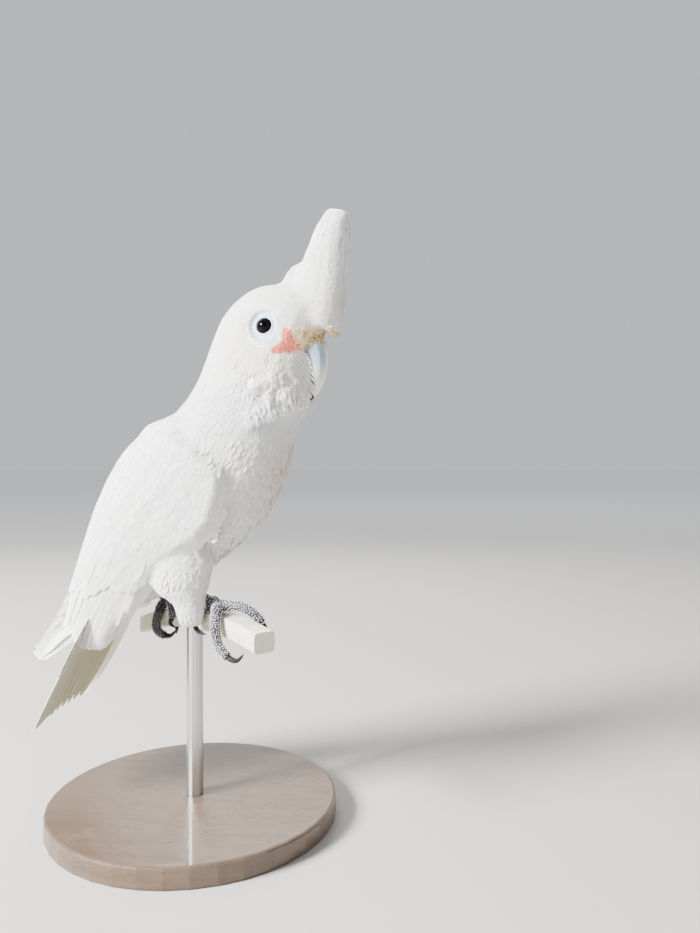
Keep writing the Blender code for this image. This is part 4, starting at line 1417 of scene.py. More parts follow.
@dataclass
class Skin:
    """The one skin of the bird, from its face to its toes."""

    voxel: float = 0.00106
    smooth_rounds: int = 4
    wing_end: tuple[float, float] = (0.0, 0.085)  # x and height where the arm's skin ends
    arm_depth: float = 0.003
    foot_depth: float = 0.00025
    spare: float = 0.00015  # how far the skin lies below the feathers' roots
    plume_depth: float = 0.0016  # how much deeper it lies in the crest
    plume_span: tuple = (0.188, 0.2, 0.23, 0.2405)  # heights where that starts, is full and ends
    ring_share: float = 0.4  # the share of its depth that is left round the eyes
    thin_share: float = 0.4  # the most it sinks, as a share of the part's thickness

    def trim(self, node: str, part: bmesh.types.BMesh) -> None:
        """Cuts a wing down to its arm."""
        if node not in WINGS:
            return
        x, height = self.wing_end
        cut = bmesh.ops.bisect_plane(
            part, geom=part.verts[:] + part.edges[:] + part.faces[:], plane_co=at(x, 0.0, height),
            plane_no=Vector((-0.3, 0.0, 0.95)), clear_inner=True)
        rim = [edge for edge in cut["geom_cut"] if isinstance(edge, bmesh.types.BMEdge)]
        bmesh.ops.holes_fill(part, edges=rim, sides=0)

    def build(self) -> None:
        """Makes the skin's mesh."""
        nodes = (*FLESH, *FEET, *WINGS, "crest", "eye_left", "eye_right")
        data = fused(nodes, self.voxel, self.trim)
        mesh = bmesh.new()
        mesh.from_mesh(data)
        points = np.array([vert.co for vert in mesh.verts])
        foot = smoothstep(0.0012, 0.0004, gap_to(FEET, points))
        body = [vert for vert, share in zip(mesh.verts, foot) if share < 0.5]
        ease(mesh, body, self.smooth_rounds)
        arm = smoothstep(0.004, 0.001, gap_to(WINGS, points))
        depth = (COMB.read(points)[1][:, 2] + self.spare) * (1 - arm) + self.arm_depth * arm
        height = points[:, 2] - DATUM
        start, full, wane, end = self.plume_span
        plume = self.plume_depth * smoothstep(start, full, height)
        depth = depth + plume * smoothstep(end, wane, height)
        open_skin = smoothstep(0.9, 1.3, eye_ring(points))
        depth = depth * (self.ring_share + (1.0 - self.ring_share) * open_skin)
        depth = depth * (1.0 - foot) + self.foot_depth * foot
        mesh.to_mesh(data)
        points, normals = read(data.vertices, "co", 3), read(data.vertex_normals, "vector", 3)
        starts = points - normals * 0.0001
        across, _, met = Form(data).seen_from(starts, -normals)
        thick = np.where(met, np.linalg.norm(across - starts, axis=1), 1.0)
        depth = np.minimum(depth, thick * self.thin_share)
        for vert, place in zip(mesh.verts, points - normals * depth[:, None]):
            vert.co = place
        self.refine(mesh)
        self.shape_lids(mesh)
        mesh.to_mesh(data)
        mesh.free()
        self.dress(data)

    def refine(self, mesh: bmesh.types.BMesh) -> None:
        """Makes the mesh finer round the eyes, where the lids are shaped."""
        for reach in (0.013, 0.0085):
            near = set()
            for eye in EYES:
                centre = Vector(eye.centre())
                near |= {v for v in mesh.verts if (v.co - centre).length < reach}
            edges = [e for e in mesh.edges if e.verts[0] in near and e.verts[1] in near]
            bmesh.ops.subdivide_edges(mesh, edges=edges, cuts=1, use_grid_fill=True)

    def shape_lids(self, mesh: bmesh.types.BMesh) -> None:
        """Draws the skin round each eye into lids, and lays fine folds round them."""
        for eye in EYES:
            centre = eye.centre()
            _, _, out_axis = eye.axes()
            verts = [v for v in mesh.verts if (v.co - Vector(centre)).length < 0.014]
            points = np.array([v.co for v in verts])
            forward, up, out = eye.measure(points)
            radius = np.hypot(forward, up)
            around = np.arctan2(up, forward)
            ball = np.sqrt(np.maximum(eye.radius**2 - radius**2, 0.0))
            rim = eye.opening + 0.0001 * np.cos(2 * around)
            lid = np.exp(-((radius - rim - 0.0004) / 0.0005) ** 2) * 0.00045
            plateau = 0.0038 - 0.1 * np.maximum(radius - 0.0052, 0.0)
            waves = (radius - rim) * math.tau / 0.00085 + 0.5 * np.sin(3 * around)
            wrinkles = 0.00009 * np.sin(waves)
            wrinkles *= smoothstep(0.005, 0.0056, radius) * smoothstep(0.0088, 0.007, radius)
            below = np.exp(-((around + math.pi / 2) / 0.75) ** 2)
            fold = 0.00035 * below * np.exp(-((radius - 0.0066) / 0.0006) ** 2)
            fold -= 0.00025 * below * np.exp(-((radius - 0.0074) / 0.0005) ** 2)
            outside = np.maximum(plateau + lid + wrinkles + fold, ball + 0.00012)
            wanted = np.where(radius > rim, outside, ball - 0.0009)
            share = smoothstep(0.0098, 0.0066, radius) * (out > 0.0)
            moved = out + (wanted - out) * share
            for vert, shift in zip(verts, moved - out):
                vert.co += Vector(out_axis) * shift

    def dress(self, data: Mesh) -> None:
        """Marks the bare places and adds the piece."""
        points = read(data.vertices, "co", 3)
        foot_near = np.minimum(*(SOLIDS[node].height(points) for node in FEET))
        store(data, "bare", smoothstep(1.1, 0.95, eye_ring(points)))
        store(data, "foot", smoothstep(0.0014, 0.0007, foot_near))
        piece = add_piece("skin", data, BirdSkin().make())
        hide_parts(*FLESH, *FEET, *WINGS, "crest")


@dataclass
class BodyCoat:
    """The small feathers of the head, neck, trunk and legs."""

    seed: int = 11
    voxel: float = 0.001
    smooth_rounds: int = 4
    spacing: float = 0.47  # distance between roots, as a share of a feather's width
    hidden: float = 0.008  # width of a cleft within which no feather is laid
    clump: float = 0.0058  # size of the cheek's clumps
    clump_height: float = 0.0027
    closing: float = 0.0014  # half the width of the clefts that are closed
    back_closing: float = 0.0034  # how much more that is over the back
    lip_height: float = 0.0022  # how far the cheeks' lower edge stands out over the throat
    calm_rounds: int = 9
    face_edge: tuple = ((0.133, 0.0727), (0.135, 0.0727), (0.14, 0.075), (0.1485, 0.0758),
                        (0.156, 0.0739), (0.161, 0.0714))
    covert_edge: tuple = ((-0.08, 0.03), (-0.06, 0.034), (-0.031, 0.038), (-0.012, 0.03),
                          (0.0, 0.02))  # x and height of a wing's lowest coverts
    straightness: float = 0.88  # the least share of a feather's length from end to end
    evenness: float = 0.4  # the least agreement of a feather's slants at its ends
    hem: float = 0.004  # height where the feathers of the legs end
    fringe_rise: float = 0.0005  # how far the fringe stands out from the bill
    plume_base: float = 0.195  # height up to which small feathers cover the plume
    sole_side: float = 0.012  # distance from the middle past which that holds
    sole_back: float = -0.02
    onto_tail: float = 0.026  # how far feathers are rooted down the tail
    form: Form = field(init=False)

    def shape_form(self) -> None:
        """Makes the coat's outer form, with all that the feathers run onto."""
        data = fused((*FLESH, *WINGS, "crest", "tail", "beak_upper", "beak_lower"), self.voxel)
        data = remeshed(self.swollen(data, 1.0), self.voxel)
        data = smoothed(self.swollen(data, -1.0), self.smooth_rounds)
        calm = gap_to(WINGS, read(data.vertices, "co", 3)) > 0.004
        with opened(data) as mesh:
            verts = [vert for vert, chosen in zip(mesh.verts, calm) if chosen]
            ease(mesh, verts, self.calm_rounds)
        points, ups = read(data.vertices, "co", 3), read(data.vertex_normals, "vector", 3)
        x, _, height = straight_place(points)
        over = height - 0.115 - 0.5 * (x - 0.042)
        lip = smoothstep(0.0, 0.0014, over) * np.exp(-((over / 0.01) ** 2))
        lip *= smoothstep(0.036, 0.048, x)
        away = np.hypot((x - 0.057) / 0.02, (height - 0.1385) / 0.0125)
        share = smoothstep(1.0, 0.45, away)
        clumps = np.array([
            self.clumpiness(Vector(point)) if part else 0.0 for point, part in zip(points, share)])
        raised = share * (clumps + 0.1) * self.clump_height + lip * self.lip_height
        move(data, points + ups * raised[:, None])
        self.form = Form(data)

    def clumpiness(self, place: Vector) -> float:
        """How far the cheek's clumps stand out at a place, from about -1 to 1."""
        place = place / self.clump
        return noise.noise(place) + 0.4 * noise.noise(place * 2.3)

    def swollen(self, data: Mesh, sign: float) -> Mesh:
        """Moves a mesh out or back in, which closes narrow clefts in between."""
        points, ups = read(data.vertices, "co", 3), read(data.vertex_normals, "vector", 3)
        height = points[:, 2] - DATUM
        spine_x, spine_height = zip(*SPINE[:5])
        behind = np.interp(height, spine_height, spine_x) - points[:, 0]
        back = smoothstep(0.0, 0.01, behind) * smoothstep(0.124, 0.114, height)
        reach = (self.closing + self.back_closing * back) * smoothstep(0.006, 0.02, height)
        move(data, points + ups * (reach * sign)[:, None])
        return data

    def over_bill(self, x: Array, height: Array) -> Array:
        """Whether places are in front of the cheeks' front edge."""
        heights, edges = zip(*self.face_edge)
        beside = (height > heights[0]) & (height < heights[-1])
        return beside & (x > np.interp(height, heights, edges))

    def under_hem(self, x: Array, y: Array, height: Array, spare: float = 0.0) -> Array:
        """Whether places are on a foot or lower."""
        return (height < self.hem - spare) & (np.abs(y) > self.sole_side) & (x > self.sole_back)

    def spaces(self, places: Array) -> Array:
        """The spacing of roots, or 0 where none is wanted."""
        _, sizes = COMB.read(places)
        spacing = sizes[:, 1] * self.spacing
        x, y, height = straight_place(places)
        plume = height > self.plume_base + 0.019 * smoothstep(0.086, 0.074, x)
        bill = (x > 0.0715) & (height > 0.158) & (height < Face.low(x) + 0.0004)
        bill |= self.over_bill(x, height) | (eye_ring(places) < 0.98)
        onto_tail = TAIL.along(places) > self.onto_tail
        bare = bill | onto_tail | plume | self.under_hem(x, y, height) | Face.covers(places)
        return np.where(bare, 0.0, spacing)

    def in_sight(self, roots: Array) -> Array:
        """Whether roots are clear of narrow clefts, or so near a cleft's mouth that they show."""
        _, normals = self.form.nearest(roots)
        ways, _ = COMB.read(roots)
        sides = unit(np.cross(ways, normals))
        shown = np.zeros(len(roots), bool)
        for reach in (ways * 0.0, ways * 0.01, ways * -0.005, sides * 0.005, sides * -0.005):
            starts = roots + reach + normals * 0.0006
            found, _, met = self.form.seen_from(starts, normals)
            shown |= ~met | (np.linalg.norm(found - starts, axis=1) > self.hidden)
        return shown

    def build(self) -> None:
        """Lays the feathers, part by part."""
        rng = np.random.default_rng(self.seed)
        self.shape_form()
        roots = self.form.scatter(self.spaces, rng, DENSITY)
        roots = roots[self.in_sight(roots)]
        LOG.info("%d feathers on the body", len(roots))
        x, y, height = straight_place(roots)
        leg = (np.abs(y) > 0.014) & (height < 0.03 + 0.2 * x) & (x > -0.018)
        cheek = (x > 0.036) & (height < 0.16) & (height > 0.126)
        head = (height > 0.15 - 0.35 * (x - 0.03)) & ~cheek
        wing = (gap_to(WINGS, roots) < gap_to(FLESH, roots)) & ~(head | cheek)
        coverts = wing & ~(height < np.interp(x, *zip(*self.covert_edge)))
        left = y > 0.0
        leg, neck = leg & ~wing, (height > 0.112) & ~(head | cheek | wing)
        front = ~(leg | head | neck | cheek | wing) & (x > -0.02 + 0.45 * (height - 0.03))
        back = ~(leg | head | neck | cheek | front | wing)
        material = Feather("feathers").make()
        covert = Feather("coverts", warmth=0.08, gap=False).make()
        groups = (
            ("head_feathers", head, SMALL, 0.75, 3.0, material),
            ("cheek_feathers", cheek, SOFT, 0.3, 10.0, material),
            ("neck_feathers", neck, SOFT, 0.7, 3.0, material),
            ("breast_feathers", front, SOFT, 0.25, 9.0, material),
            ("back_feathers", back, BODY, 0.75, 2.0, material),
            ("leg_feathers", leg, SOFT, 0.5, 5.0, material),
            ("wing_coverts_left", coverts & left, COVERT, 0.8, 0.8, covert),
            ("wing_coverts_right", coverts & ~left, COVERT, 0.8, 0.8, covert),
        )
        for name, chosen, shape, softness, roll, finish in groups:
            coat = Coat(name, rng, softness)
            self.lay(coat, shape, roots[chosen], rng, COMB, roll)
            if name == "cheek_feathers":
                self.lay_ruff(coat, rng)
                self.lay_fringe(coat, rng)
            coat.build(finish)

    def lay(self, coat: Coat, shape: Vane, roots: Array, rng: Rng, comb: Comb,
            roll: float) -> None:
        """Lays feathers that stay clear of the bill and of the eyes' rings."""
        path, ups, widths, rise = lie(self.form, roots, shape, rng, comb)
        clear = self.clear_of_face(path[:, -1])
        arc = np.linalg.norm(np.diff(path, axis=1), axis=2).sum(axis=1)
        clear &= np.linalg.norm(path[:, -1] - path[:, 0], axis=1) > arc * self.straightness
        clear &= (ups[:, 0] * ups[:, -1]).sum(axis=1) > self.evenness
        if shape is COVERT:
            clear &= np.abs(self.form.height(path[:, -1])) < 0.0018
            for end in (0, -1):
                clear &= ups[:, end, 1] * np.sign(path[:, end, 1]) > -0.1
                clear &= ups[:, end, 2] > -0.55
        path, ups, widths, rise = path[clear], ups[clear], widths[clear], rise[clear]
        coat.lay(shape, path, ups, widths, fitted(round_spine(path[:, 0])), rise, self.form, 1, roll)

    def clear_of_face(self, tips: Array) -> Array:
        """Whether feathers' tips are off the bill and off the eyes' rings."""
        x, y, height = straight_place(tips)
        clear = ~self.over_bill(x, height)
        for eye in EYES:
            clear &= eye.ring(tips) > 0.93
        return clear & ~self.under_hem(x, y, height, 0.0006)

    def lay_ruff(self, coat: Coat, rng: Rng) -> None:
        """Lays the fluffy lower edge of the cheeks, which stands out over the throat."""

        def spaces(places: Array) -> Array:
            """The spacing of the ruff's feathers."""
            x, _, height = straight_place(places)
            over = height - (0.1155 + (x - 0.042) * 0.5)
            inside = (over > 0.005) & (over < 0.013) & (x > 0.042) & (x < 0.0705)
            return np.where(inside, 0.0012, 0.0)

        comb = Comb((
            Stroke((68, 8, 134), (0.6, 0.15, -1), 7, 1.6, 0.3, 2.8),
            Stroke((58, 17, 130), (0.1, 0.1, -1), 8.5, 2, 0.3, 3.6),
            Stroke((44, 22, 124), (-0.2, 0, -1), 8.5, 2.6, 0.3, 2.2),
        ))
        self.lay(coat, WISP, self.form.scatter(spaces, rng, DENSITY), rng, comb, 12.0)

    def lay_fringe(self, coat: Coat, rng: Rng) -> None:
        """Lays the spiky edge of the cheeks, which runs out over the bill's sides."""

        def spaces(places: Array) -> Array:
            """The spacing of the fringe's feathers."""
            x, _, height = straight_place(places)
            short = np.interp(height, *zip(*self.face_edge)) - x
            inside = (short > 0.0002) & (short < 0.0045) & (height > 0.133) & (height < 0.1595)
            return np.where(inside, 0.001, 0.0)

        comb = Comb((
            Stroke((71, 10, 156), (1, 0, -0.35), 3, 0.8, 0.25, 0.7),
            Stroke((70, 8, 146), (0.9, 0, -0.5), 3.8, 0.8, 0.25, 1),
            Stroke((68, 6, 137), (0.6, 0, -0.8), 3.6, 0.9, 0.25, 0.9),
            Stroke((64, 14, 140), (0.4, 0, -1), 3.8, 1, 0.25, 0.7),
        ))
        roots = self.form.scatter(spaces, rng, DENSITY)
        path, ups, widths, rise = lie(self.form, roots, WISP, rng, comb, 14.0)
        patches = fitted(round_spine(path[:, 0]))
        coat.lay(WISP, path, ups, widths, patches, rise + self.fringe_rise, self.form, 1, 12.0)


@dataclass
class Face:
    """The bare lores and the bristly edge of the bill's root."""

    seed: int = 5
    voxel: float = 0.0008
    spacing: float = 0.00056

    @staticmethod
    def low(x: Array) -> Array:
        """Height of the band's lower edge."""
        return np.interp(x, (0.0685, 0.072, 0.0795, 0.085), (0.16, 0.1602, 0.1648, 0.169))

    @classmethod
    def covers(cls, places: Array) -> Array:
        """Whether places are on the lores or on the band along the bill's root."""
        x, y, height = straight_place(places)
        inside = (x > 0.0685) & (height > cls.low(x)) & (height < 0.1722)
        local = np.stack((x, np.abs(y), height), axis=1)
        for centre, axes in MARKINGS.lores:
            inside |= (((local - centre) / axes) ** 2).sum(axis=1) < 0.72
        return inside

    def build(self) -> None:
        """Lays the bristles."""
        rng = np.random.default_rng(self.seed)
        form = Form(smoothed(fused(("head", "beak_upper", "crest"), self.voxel), 3))

        def spaces(places: Array) -> Array:
            """The spacing of bristles."""
            return np.where(self.covers(places), self.spacing, 0.0)

        roots = form.scatter(spaces, rng, 2.0e7)
        comb = Comb((
            Stroke((60, 19, 160), (-0.4, 0.2, -0.6), 1.2, 0.62, 0.25, 0.3),
            Stroke((65, 18, 164), (0.3, 0.2, -0.6), 1.2, 0.62, 0.25, 0.4),
            Stroke((73, 12, 166), (1, 0.1, -0.3), 1.7, 0.5, 0.25, 0.7),
            Stroke((80, 5, 168), (1, 0.1, -0.2), 2.6, 0.5, 0.25, 1.4),
            Stroke((85, 6, 170), (0.5, 0.2, -0.8), 3.6, 0.6, 0.25, 2.6),
        ))
        path, ups, widths, rise = lie(form, roots, BRISTLE, rng, comb, 30.0)
        coat = Coat("face_bristles", rng, 0.3)
        straight = TURN.straight(path[:, 0])
        patches = fitted(straight[:, [0, 2]] + straight[:, [1, 1]] * (0, 2))
        coat.lay(BRISTLE, path, ups, widths, patches, rise, roll=20.0)
        coat.build(FaceBristle().make())


@dataclass
class Bill:
    """The hooked upper bill and the short lower one."""

    voxel: float = 0.0005

    def build(self) -> None:
        """Makes both halves."""
        for node in ("beak_upper", "beak_lower"):
            data = smoothed(fused((node,), self.voxel), 6)
            with opened(data) as mesh:
                for vert in mesh.verts:
                    self.ridge(vert)
            piece = add_piece(node.replace("beak", "bill"), data, Horn().make())
            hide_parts(node)

    @staticmethod
    def ridge(vert: bmesh.types.BMVert) -> None:
        """Raises the ridge of the upper bill a little and hollows its flanks."""
        straight = TURN.straight(np.array(vert.co)[None])[0]
        front = float(smoothstep(0.074, 0.08, np.array(straight[0])))
        y = straight[1]
        ridge = 0.00025 * math.exp(-((y / 0.0016) ** 2))
        rise = ridge - 0.00015 * math.exp(-(((abs(y) - 0.004) / 0.0015) ** 2))
        vert.co += vert.normal * rise * front


@dataclass
class Eyes:
    """The eyeballs with their clear bulging corneas."""

    segments: int = 48
    rings: int = 32

    def build(self) -> None:
        """Makes both eyes."""
        for eye in EYES:
            mesh = bmesh.new()
            bmesh.ops.create_uvsphere(
                mesh, u_segments=self.segments, v_segments=self.rings, radius=eye.radius)
            for vert in mesh.verts:
                polar = math.acos(max(-1.0, min(1.0, vert.co.z / eye.radius)))
                vert.co.z += 0.0005 * math.exp(-((polar / 0.55) ** 2))
            _, _, out = eye.axes()
            turn = Vector((0, 0, 1)).rotation_difference(Vector(out)).to_matrix()
            bmesh.ops.rotate(mesh, cent=(0, 0, 0), matrix=turn, verts=mesh.verts)
            bmesh.ops.translate(mesh, vec=Vector(eye.centre()), verts=mesh.verts)
            data = written(mesh, "eyeball")
            finish = EyeGlass(tuple(eye.centre()), tuple(out), f"eye {eye.side.word}")
            piece = add_piece(f"eyeball_{eye.side.word}", data, finish.make())
            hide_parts(f"eye_{eye.side.word}")


@dataclass
class Crest:
    """The raised plume and the lobe of shorter feathers behind it."""

    seed: int = 23
    axis: tuple = ((0.0745, 0.176), (0.0775, 0.1895), (0.0809, 0.204), (0.0838, 0.218),
                   (0.0868, 0.2312), (0.0902, 0.241))
    free_root: float = 0.38  # where the plume's back comes clear of the lobe
    layers: tuple = (
        # root, tip, feathers, width in mm, depth in mm
        (0.42, 1.04, 12, 9.0, 1.0), (0.28, 1.03, 14, 9.5, 0.6), (0.18, 1.0, 15, 9.5, 0.3),
        (0.14, 0.8, 14, 8.5, 0.15), (0.12, 0.62, 16, 7.5, 0.1), (0.11, 0.48, 18, 6.5, 0.05),
    )

    def surface(self, form: Form, along: Array, turn: Array) -> tuple[Array, Array]:
        """Points of the plume's form.

        Args:
            form: The crest's outer form.
            along: Places along the axis, from 0 to 1.
            turn: Turns round it, from 0 at the front through the bird's left.

        Returns:
            The points and the normals there.
        """
        shape = along.shape
        along, turn = along.ravel(), turn.ravel()
        line = catmull(self.axis, along)
        ends = (catmull(self.axis, np.clip(along + step, 0, 1)) for step in (0.02, -0.02))
        slope = unit(np.subtract(*ends))
        centre = np.stack((line[:, 0], np.zeros(len(line)), line[:, 1] + DATUM), axis=1)
        front = np.stack((slope[:, 1], np.zeros(len(line)), -slope[:, 0]), axis=1)
        angle = turn * math.tau
        way = front * np.cos(angle)[:, None] + np.array((0.0, 1.0, 0.0)) * np.sin(angle)[:, None]
        start, end = TURN.turned(centre), TURN.turned(centre + way * 0.03)
        found, normals, met = form.seen_from(start, unit(end - start))
        spare = form.nearest(start + unit(end - start) * 0.004)
        return filled((found, normals), spare, met, shape)

    def build(self) -> None:
        """Lays the crest's feathers, the longest first."""
        rng = np.random.default_rng(self.seed)
        form = Form(smoothed(fused(("crest", "head"), 0.0008), 12))
        coat = Coat("crest_feathers", rng, 0.75)
        for layer in self.layers:
            self.strip(coat, form, layer, rng)
        piece = coat.build(Feather("crest plume", warmth=0.12).make())
        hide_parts("crest")

    def strip(self, coat: Coat, form: Form, layer: tuple, rng: Rng) -> None:
        """Lays one ring of feathers up the plume."""
        root, tip, count, width, depth = layer
        turn = (np.arange(count) + rng.random()) / count
        turn += rng.normal(0.0, 0.006, count)
        ends = tip + rng.normal(0.0, 0.02, count)
        behind = np.abs(turn % 1.0 - 0.5) < 0.21
        starts = np.where(behind, max(root, self.free_root), root)
        turn, ends, starts = (row[starts < ends - 0.2] for row in (turn, ends, starts))
        count = len(turn)
        stations = PLUME.stations()
        along = np.clip(starts[:, None] + (ends - starts)[:, None] * stations[None], 0.0, 1.0)
        points, normals = self.surface(form, along, np.broadcast_to(turn[:, None], along.shape))
        even_out(points, normals, 2)
        rise = -depth * MILLIMETRE - 0.0005 * (1.0 - stations) + rng.normal(0, 0.00004, (count, 1))
        widths = np.full(count, width * MILLIMETRE)
        patches = np.stack((turn % 1.0 * 0.9 + 0.05, np.full(count, 0.1 + max(root, 0.0))), axis=1)
        coat.lay(PLUME, points, normals, widths, patches, rise, form, 2, 0.5)


QUILL_ROOTS = (
    ((0.006, 0.066), (-0.004, 0.062), (-0.014, 0.058)),
    ((-0.014, 0.06), (-0.03, 0.062), (-0.046, 0.07)),
    ((-0.002, 0.08), (-0.008, 0.084), (-0.018, 0.088), (-0.036, 0.092)),
)
QUILLS = {
    # tips, feathers, width in mm, depth in mm of the first and of the last
    Side.RIGHT: (
        (((-0.031, 0.009), (-0.0465, -0.01), (-0.054, -0.0135), (-0.062, -0.011)),
         8, 13.0, 1.1, 0.8),
        (((-0.061, -0.012), (-0.068, -0.01), (-0.0745, 0.0)), 6, 9.0, 0.9, 0.6),
        (((-0.011, 0.045), (-0.019, 0.0375), (-0.033, 0.031), (-0.06, 0.024)), 15, 14.0, 0.6, 0.4),
    ),
    Side.LEFT: (
        (((-0.048, 0.002), (-0.08, -0.015), (-0.106, -0.0285), (-0.113, -0.029)),
         8, 13.0, 1.1, 0.8),
        (((-0.112, -0.024), (-0.1, -0.006), (-0.088, 0.012)), 6, 11.0, 0.9, 0.6),
        (((-0.011, 0.045), (-0.019, 0.0375), (-0.036, 0.026), (-0.07, 0.017)), 15, 14.0, 0.6, 0.4),
    ),
}


@dataclass
class Wing:
    """The flight feathers of one folded wing."""

    side: Side
    seed: int = 31
    form: Form = field(init=False)

    def from_side(self, x: Array, height: Array) -> tuple[Array, Array]:
        """Points of the wing's outer face, seen square from its side."""
        shape = x.shape
        x, height = x.ravel(), height.ravel()
        sign = float(self.side.value)
        starts = np.stack((x, np.full(len(x), 0.1 * sign), height + DATUM), axis=1)
        found, normals, met = self.form.seen_from(starts, np.tile((0.0, -sign, 0.0), (len(x), 1)))
        near = starts * (1.0, 0.24, 1.0)
        spare, spare_normals = self.form.nearest(near)
        spare = np.stack((x, spare[:, 1], height + DATUM), axis=1)
        return filled((found, normals), (spare, spare_normals), met, shape)

    def build(self) -> None:
        """Lays the flight feathers, group by group, from the lowest up."""
        self.form = Form(smoothed(fused((f"wing_{self.side.word}",), 0.0008), 3))
        rng = np.random.default_rng(self.seed + self.side.value)
        coat = Coat(f"wing_quills_{self.side.word}", rng, 0.6)
        stations = QUILL.stations()
        for roots, (tips, count, width, low, high) in zip(QUILL_ROOTS, QUILLS[self.side]):
            share = np.linspace(0.0, 1.0, count)
            first, last = catmull(roots, share), catmull(tips, share)
            line = first[:, None] + (last - first)[:, None] * stations[None, :, None]
            points, normals = self.from_side(line[..., 0], line[..., 1])
            even_out(points, normals, 3)
            depth = (low + (high - low) * share)[:, None] * MILLIMETRE
            rise = -depth - 0.0006 * (1.0 - stations)[None]
            widths = np.full(count, width * MILLIMETRE)
            row = np.full(count, 0.1 + 0.8 * (1 - low / 3))
            patches = np.stack((share * 0.9 + 0.05, row), axis=1)
            coat.lay(QUILL, points, normals, widths, patches, rise, self.form, 2, 0.6, 0.55)
        finish = Feather("flight feathers", barb=0.7, warmth=0.0, gap=False, under=0.12)
        piece = coat.build(finish.make())
        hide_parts(f"wing_{self.side.word}")


@dataclass
class Tail:
    """The fan of twelve tail feathers."""

    feathers: int = 12
    width: float = 0.015
    layer: float = 0.00022  # distance from one feather to the next above it
    seed: int = 41
    edge: tuple = (-0.94, -0.97, -0.93, -0.98)  # where the white edge's feathers lie across it
    edge_width: float = 0.0075
    edge_lengths: tuple = (0.9, 0.76, 0.64, 0.5)  # their lengths, as shares of the tail's

    def build(self) -> None:
        """Lays the tail feathers, the outer ones lowest."""
        rng = np.random.default_rng(self.seed)
        coat = Coat("tail_feathers", rng, 0.3)
        side = (np.arange(self.feathers) * 2 + 1) / self.feathers - 1
        length = TAIL.length * 0.965 - 0.006 * side**2 + rng.normal(0, 0.0006, self.feathers)
        inner = np.clip(1.0 - self.width * 0.46 / TAIL.tip_half, 0.0, 1.0)
        above = (1 - np.abs(side)) * self.feathers / 2 * self.layer - 0.0005
        patches = np.stack((side * 0.45 + 0.5, np.full(self.feathers, 0.5)), axis=1)
        self.fan(coat, (side * inner * 12 / 11, length, above), self.width, patches, 0.8, True)
        count = len(self.edge)
        rows = (np.array(self.edge), TAIL.length * np.array(self.edge_lengths),
                0.00015 * np.arange(count) - 0.0002)
        patches = np.stack((np.linspace(0.2, 0.8, count), np.full(count, 0.9)), axis=1)
        self.fan(coat, rows, self.edge_width, patches, 3.0, False)
        finish = Feather("tail quills", barb=0.7, warmth=0.0, gap=False, under=0.85)
        piece = coat.build(finish.make())
        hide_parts("tail")

    @staticmethod
    def fan(coat: Coat, rows: tuple, width: float, patches: Array, roll: float,
            shaded: bool) -> None:
        """Lays feathers side by side over the tail.

        Args:
            coat: The coat that they join.
            rows: Their places across the tail, their lengths and their heights.
            width: Their width.
            patches: Each feather's place on the coat's map.
            roll: Spread in degrees of their random roll.
            shaded: Whether their undersides count as undersides.
        """
        along = TAIL_QUILL.stations()[None] * rows[1][:, None]
        reach, above = (np.broadcast_to(row[:, None], along.shape) for row in (rows[0], rows[2]))
        points = TAIL.points(along, reach, above)
        beside = TAIL.points(along, reach + 0.02, above) - points
        up = unit(np.cross(beside, np.gradient(points, axis=1)))
        coat.lay(TAIL_QUILL, points, up, np.full(len(along), width), patches, 0.0 * along,
                 roll=roll, shaded=shaded)


# painted shade: the left foot sits in shadow, so its plates are painted much darker than the right
# foot's
FOOT_TONES_AND_PAINTED_SHADE = {  # the plates' colours, dark and light
    Side.RIGHT: ((0.42, 0.42, 0.5), (0.8, 0.8, 0.86)),
    Side.LEFT: ((0.08, 0.08, 0.1), (0.38, 0.38, 0.43)),
}


@dataclass
class FootScales:
    """The small plates that cover a foot."""

    side: Side
    half: float = 0.00041
    spacing: float = 0.00116
    seed: int = 61
    plate: Plate = Plate()

    def build(self) -> None:
        """Lays the plates."""
        rng = np.random.default_rng(self.seed + self.side.value)
        form = Form(smoothed(fused((f"foot_{self.side.word}",), 0.0006), 2))
        leg = SOLIDS[f"leg_{self.side.word}"]

        def spaces(places: Array) -> Array:
            """The plates' spacing."""
            return np.where(leg.height(places) > -0.0005, self.spacing, 0.0)

        roots = form.scatter(spaces, rng, 4.0e7)
        roots, normals = form.nearest(roots)
        ways = unit(np.cross(normals, rng.normal(size=normals.shape)))
        sizes = self.half * rng.normal(1.0, 0.1, (len(roots), 2)) * (1.0, 0.92)
        coat = Coat(f"foot_scales_{self.side.word}", rng, 0.3)
        axis = roots - roots.mean(axis=0)
        patches = fitted(axis @ np.linalg.svd(axis, full_matrices=False)[2][:2].T)
        coat.stud(self.plate, roots, normals, ways, sizes, patches)
        finish = FootScale(f"foot scales {self.side.word}", *FOOT_TONES_AND_PAINTED_SHADE[self.side])
        coat.build(finish.make())


class Claws:
    """The claws, which keep their solids."""

    def build(self) -> None:
        """Rounds off and dresses each claw."""
        material = ClawHorn().make()
        for name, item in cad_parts.items():
            if name.startswith("claw_"):
                dress_node(item, material)
                weld = item.modifiers.new("weld", "WELD")
                weld.merge_threshold = 0.00001
                round_off = item.modifiers.new("round", "SUBSURF")
                round_off.levels = 2
                round_off.render_levels = 2


def dress_node(item: bpy.types.Object, material: Material) -> None:
    """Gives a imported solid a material."""
    item.data.materials.clear()
    item.data.materials.append(material)
    LOG.info("%s: dressed", item.name)


class Stand:
    """The bar, the rod and the base, which keep their solids."""

    def build(self) -> None:
        """Dresses the stand and the bar."""
        finishes = {"perch": BarPaint(), "stand_base": StandWood(), "stand_rod": RodSteel()}
        for name, finish in finishes.items():
            dress_node(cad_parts[name], finish.make())


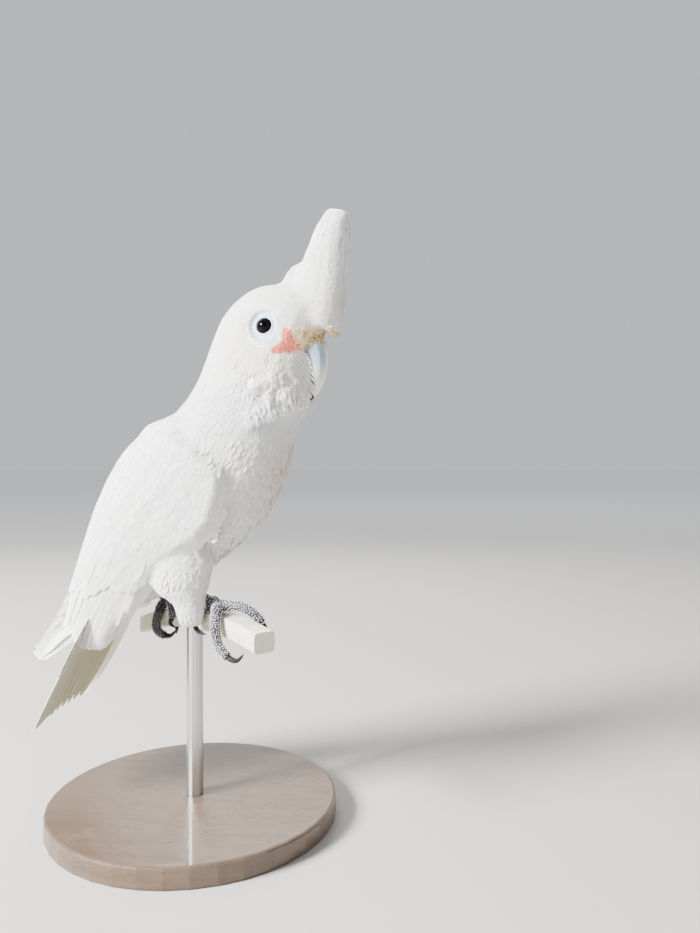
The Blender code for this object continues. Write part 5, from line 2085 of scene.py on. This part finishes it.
@dataclass
class Studio:
    """The floor, the lights and the camera."""

    floor_radius: float = 40.0
    floor_sides: int = 96
    camera_place: Point = (0.156, -0.438, DATUM + 0.094)
    camera_turn: float = math.radians(8.0)
    lens: float = 29.13

    def build(self) -> None:
        """Sets up the studio."""
        self.lay_floor()
        self.hang_light("key", (-1.1, -0.85, 0.95), 0.5, 215.0, (1.0, 0.98, 0.95))
        self.hang_light("fill", (0.95, -0.85, 0.35), 0.9, 4.0, (1.0, 0.93, 0.85))
        self.hang_light("rim", (-0.25, 0.95, 0.95), 0.7, 14.0, (1.0, 0.97, 0.92))
        world = bpy.data.worlds.new("studio")
        world.use_nodes = True
        background = world.node_tree.nodes["Background"]
        background.inputs["Color"].default_value = (0.92, 0.94, 0.97, 1.0)
        background.inputs["Strength"].default_value = 0.72
        bpy.context.scene.world = world
        camera = bpy.data.cameras.new("camera")
        camera.lens = self.lens
        camera.clip_start = 0.01
        item = placed("camera", camera)
        item.location = self.camera_place
        item.rotation_euler = (math.pi / 2, 0.0, self.camera_turn)
        bpy.context.scene.camera = item

    def lay_floor(self) -> None:
        """Lays a round floor that runs out of sight."""
        mesh = bmesh.new()
        bmesh.ops.create_circle(
            mesh, cap_ends=True, segments=self.floor_sides, radius=self.floor_radius)
        floor = placed("floor", written(mesh, "floor"))
        floor.data.materials.append(FloorPaint().make())

    @staticmethod
    def hang_light(name: str, place: Point, size: float, power: float, colour: Colour) -> None:
        """Hangs a soft square light that looks at the bird."""
        light = bpy.data.lights.new(name, "AREA")
        light.size = size
        light.energy = power
        light.color = colour
        item = placed(name, light)
        item.location = place
        target = Vector((0.0, 0.0, 0.22))
        item.rotation_euler = (target - Vector(place)).to_track_quat("-Z", "Y").to_euler()


def main() -> None:
    """Builds the bird, its perch and stand, and the studio."""
    logging.basicConfig(level=logging.INFO, format="%(name)s %(message)s")
    Studio().build()
    Stand().build()
    Claws().build()
    Eyes().build()
    Bill().build()
    Skin().build()
    BodyCoat().build()
    Face().build()
    Crest().build()
    Wing(Side.RIGHT).build()
    Wing(Side.LEFT).build()
    Tail().build()
    for side in Side:
        FootScales(side).build()
    bpy.context.view_layer.update()


if __name__ == "__main__":
    main()
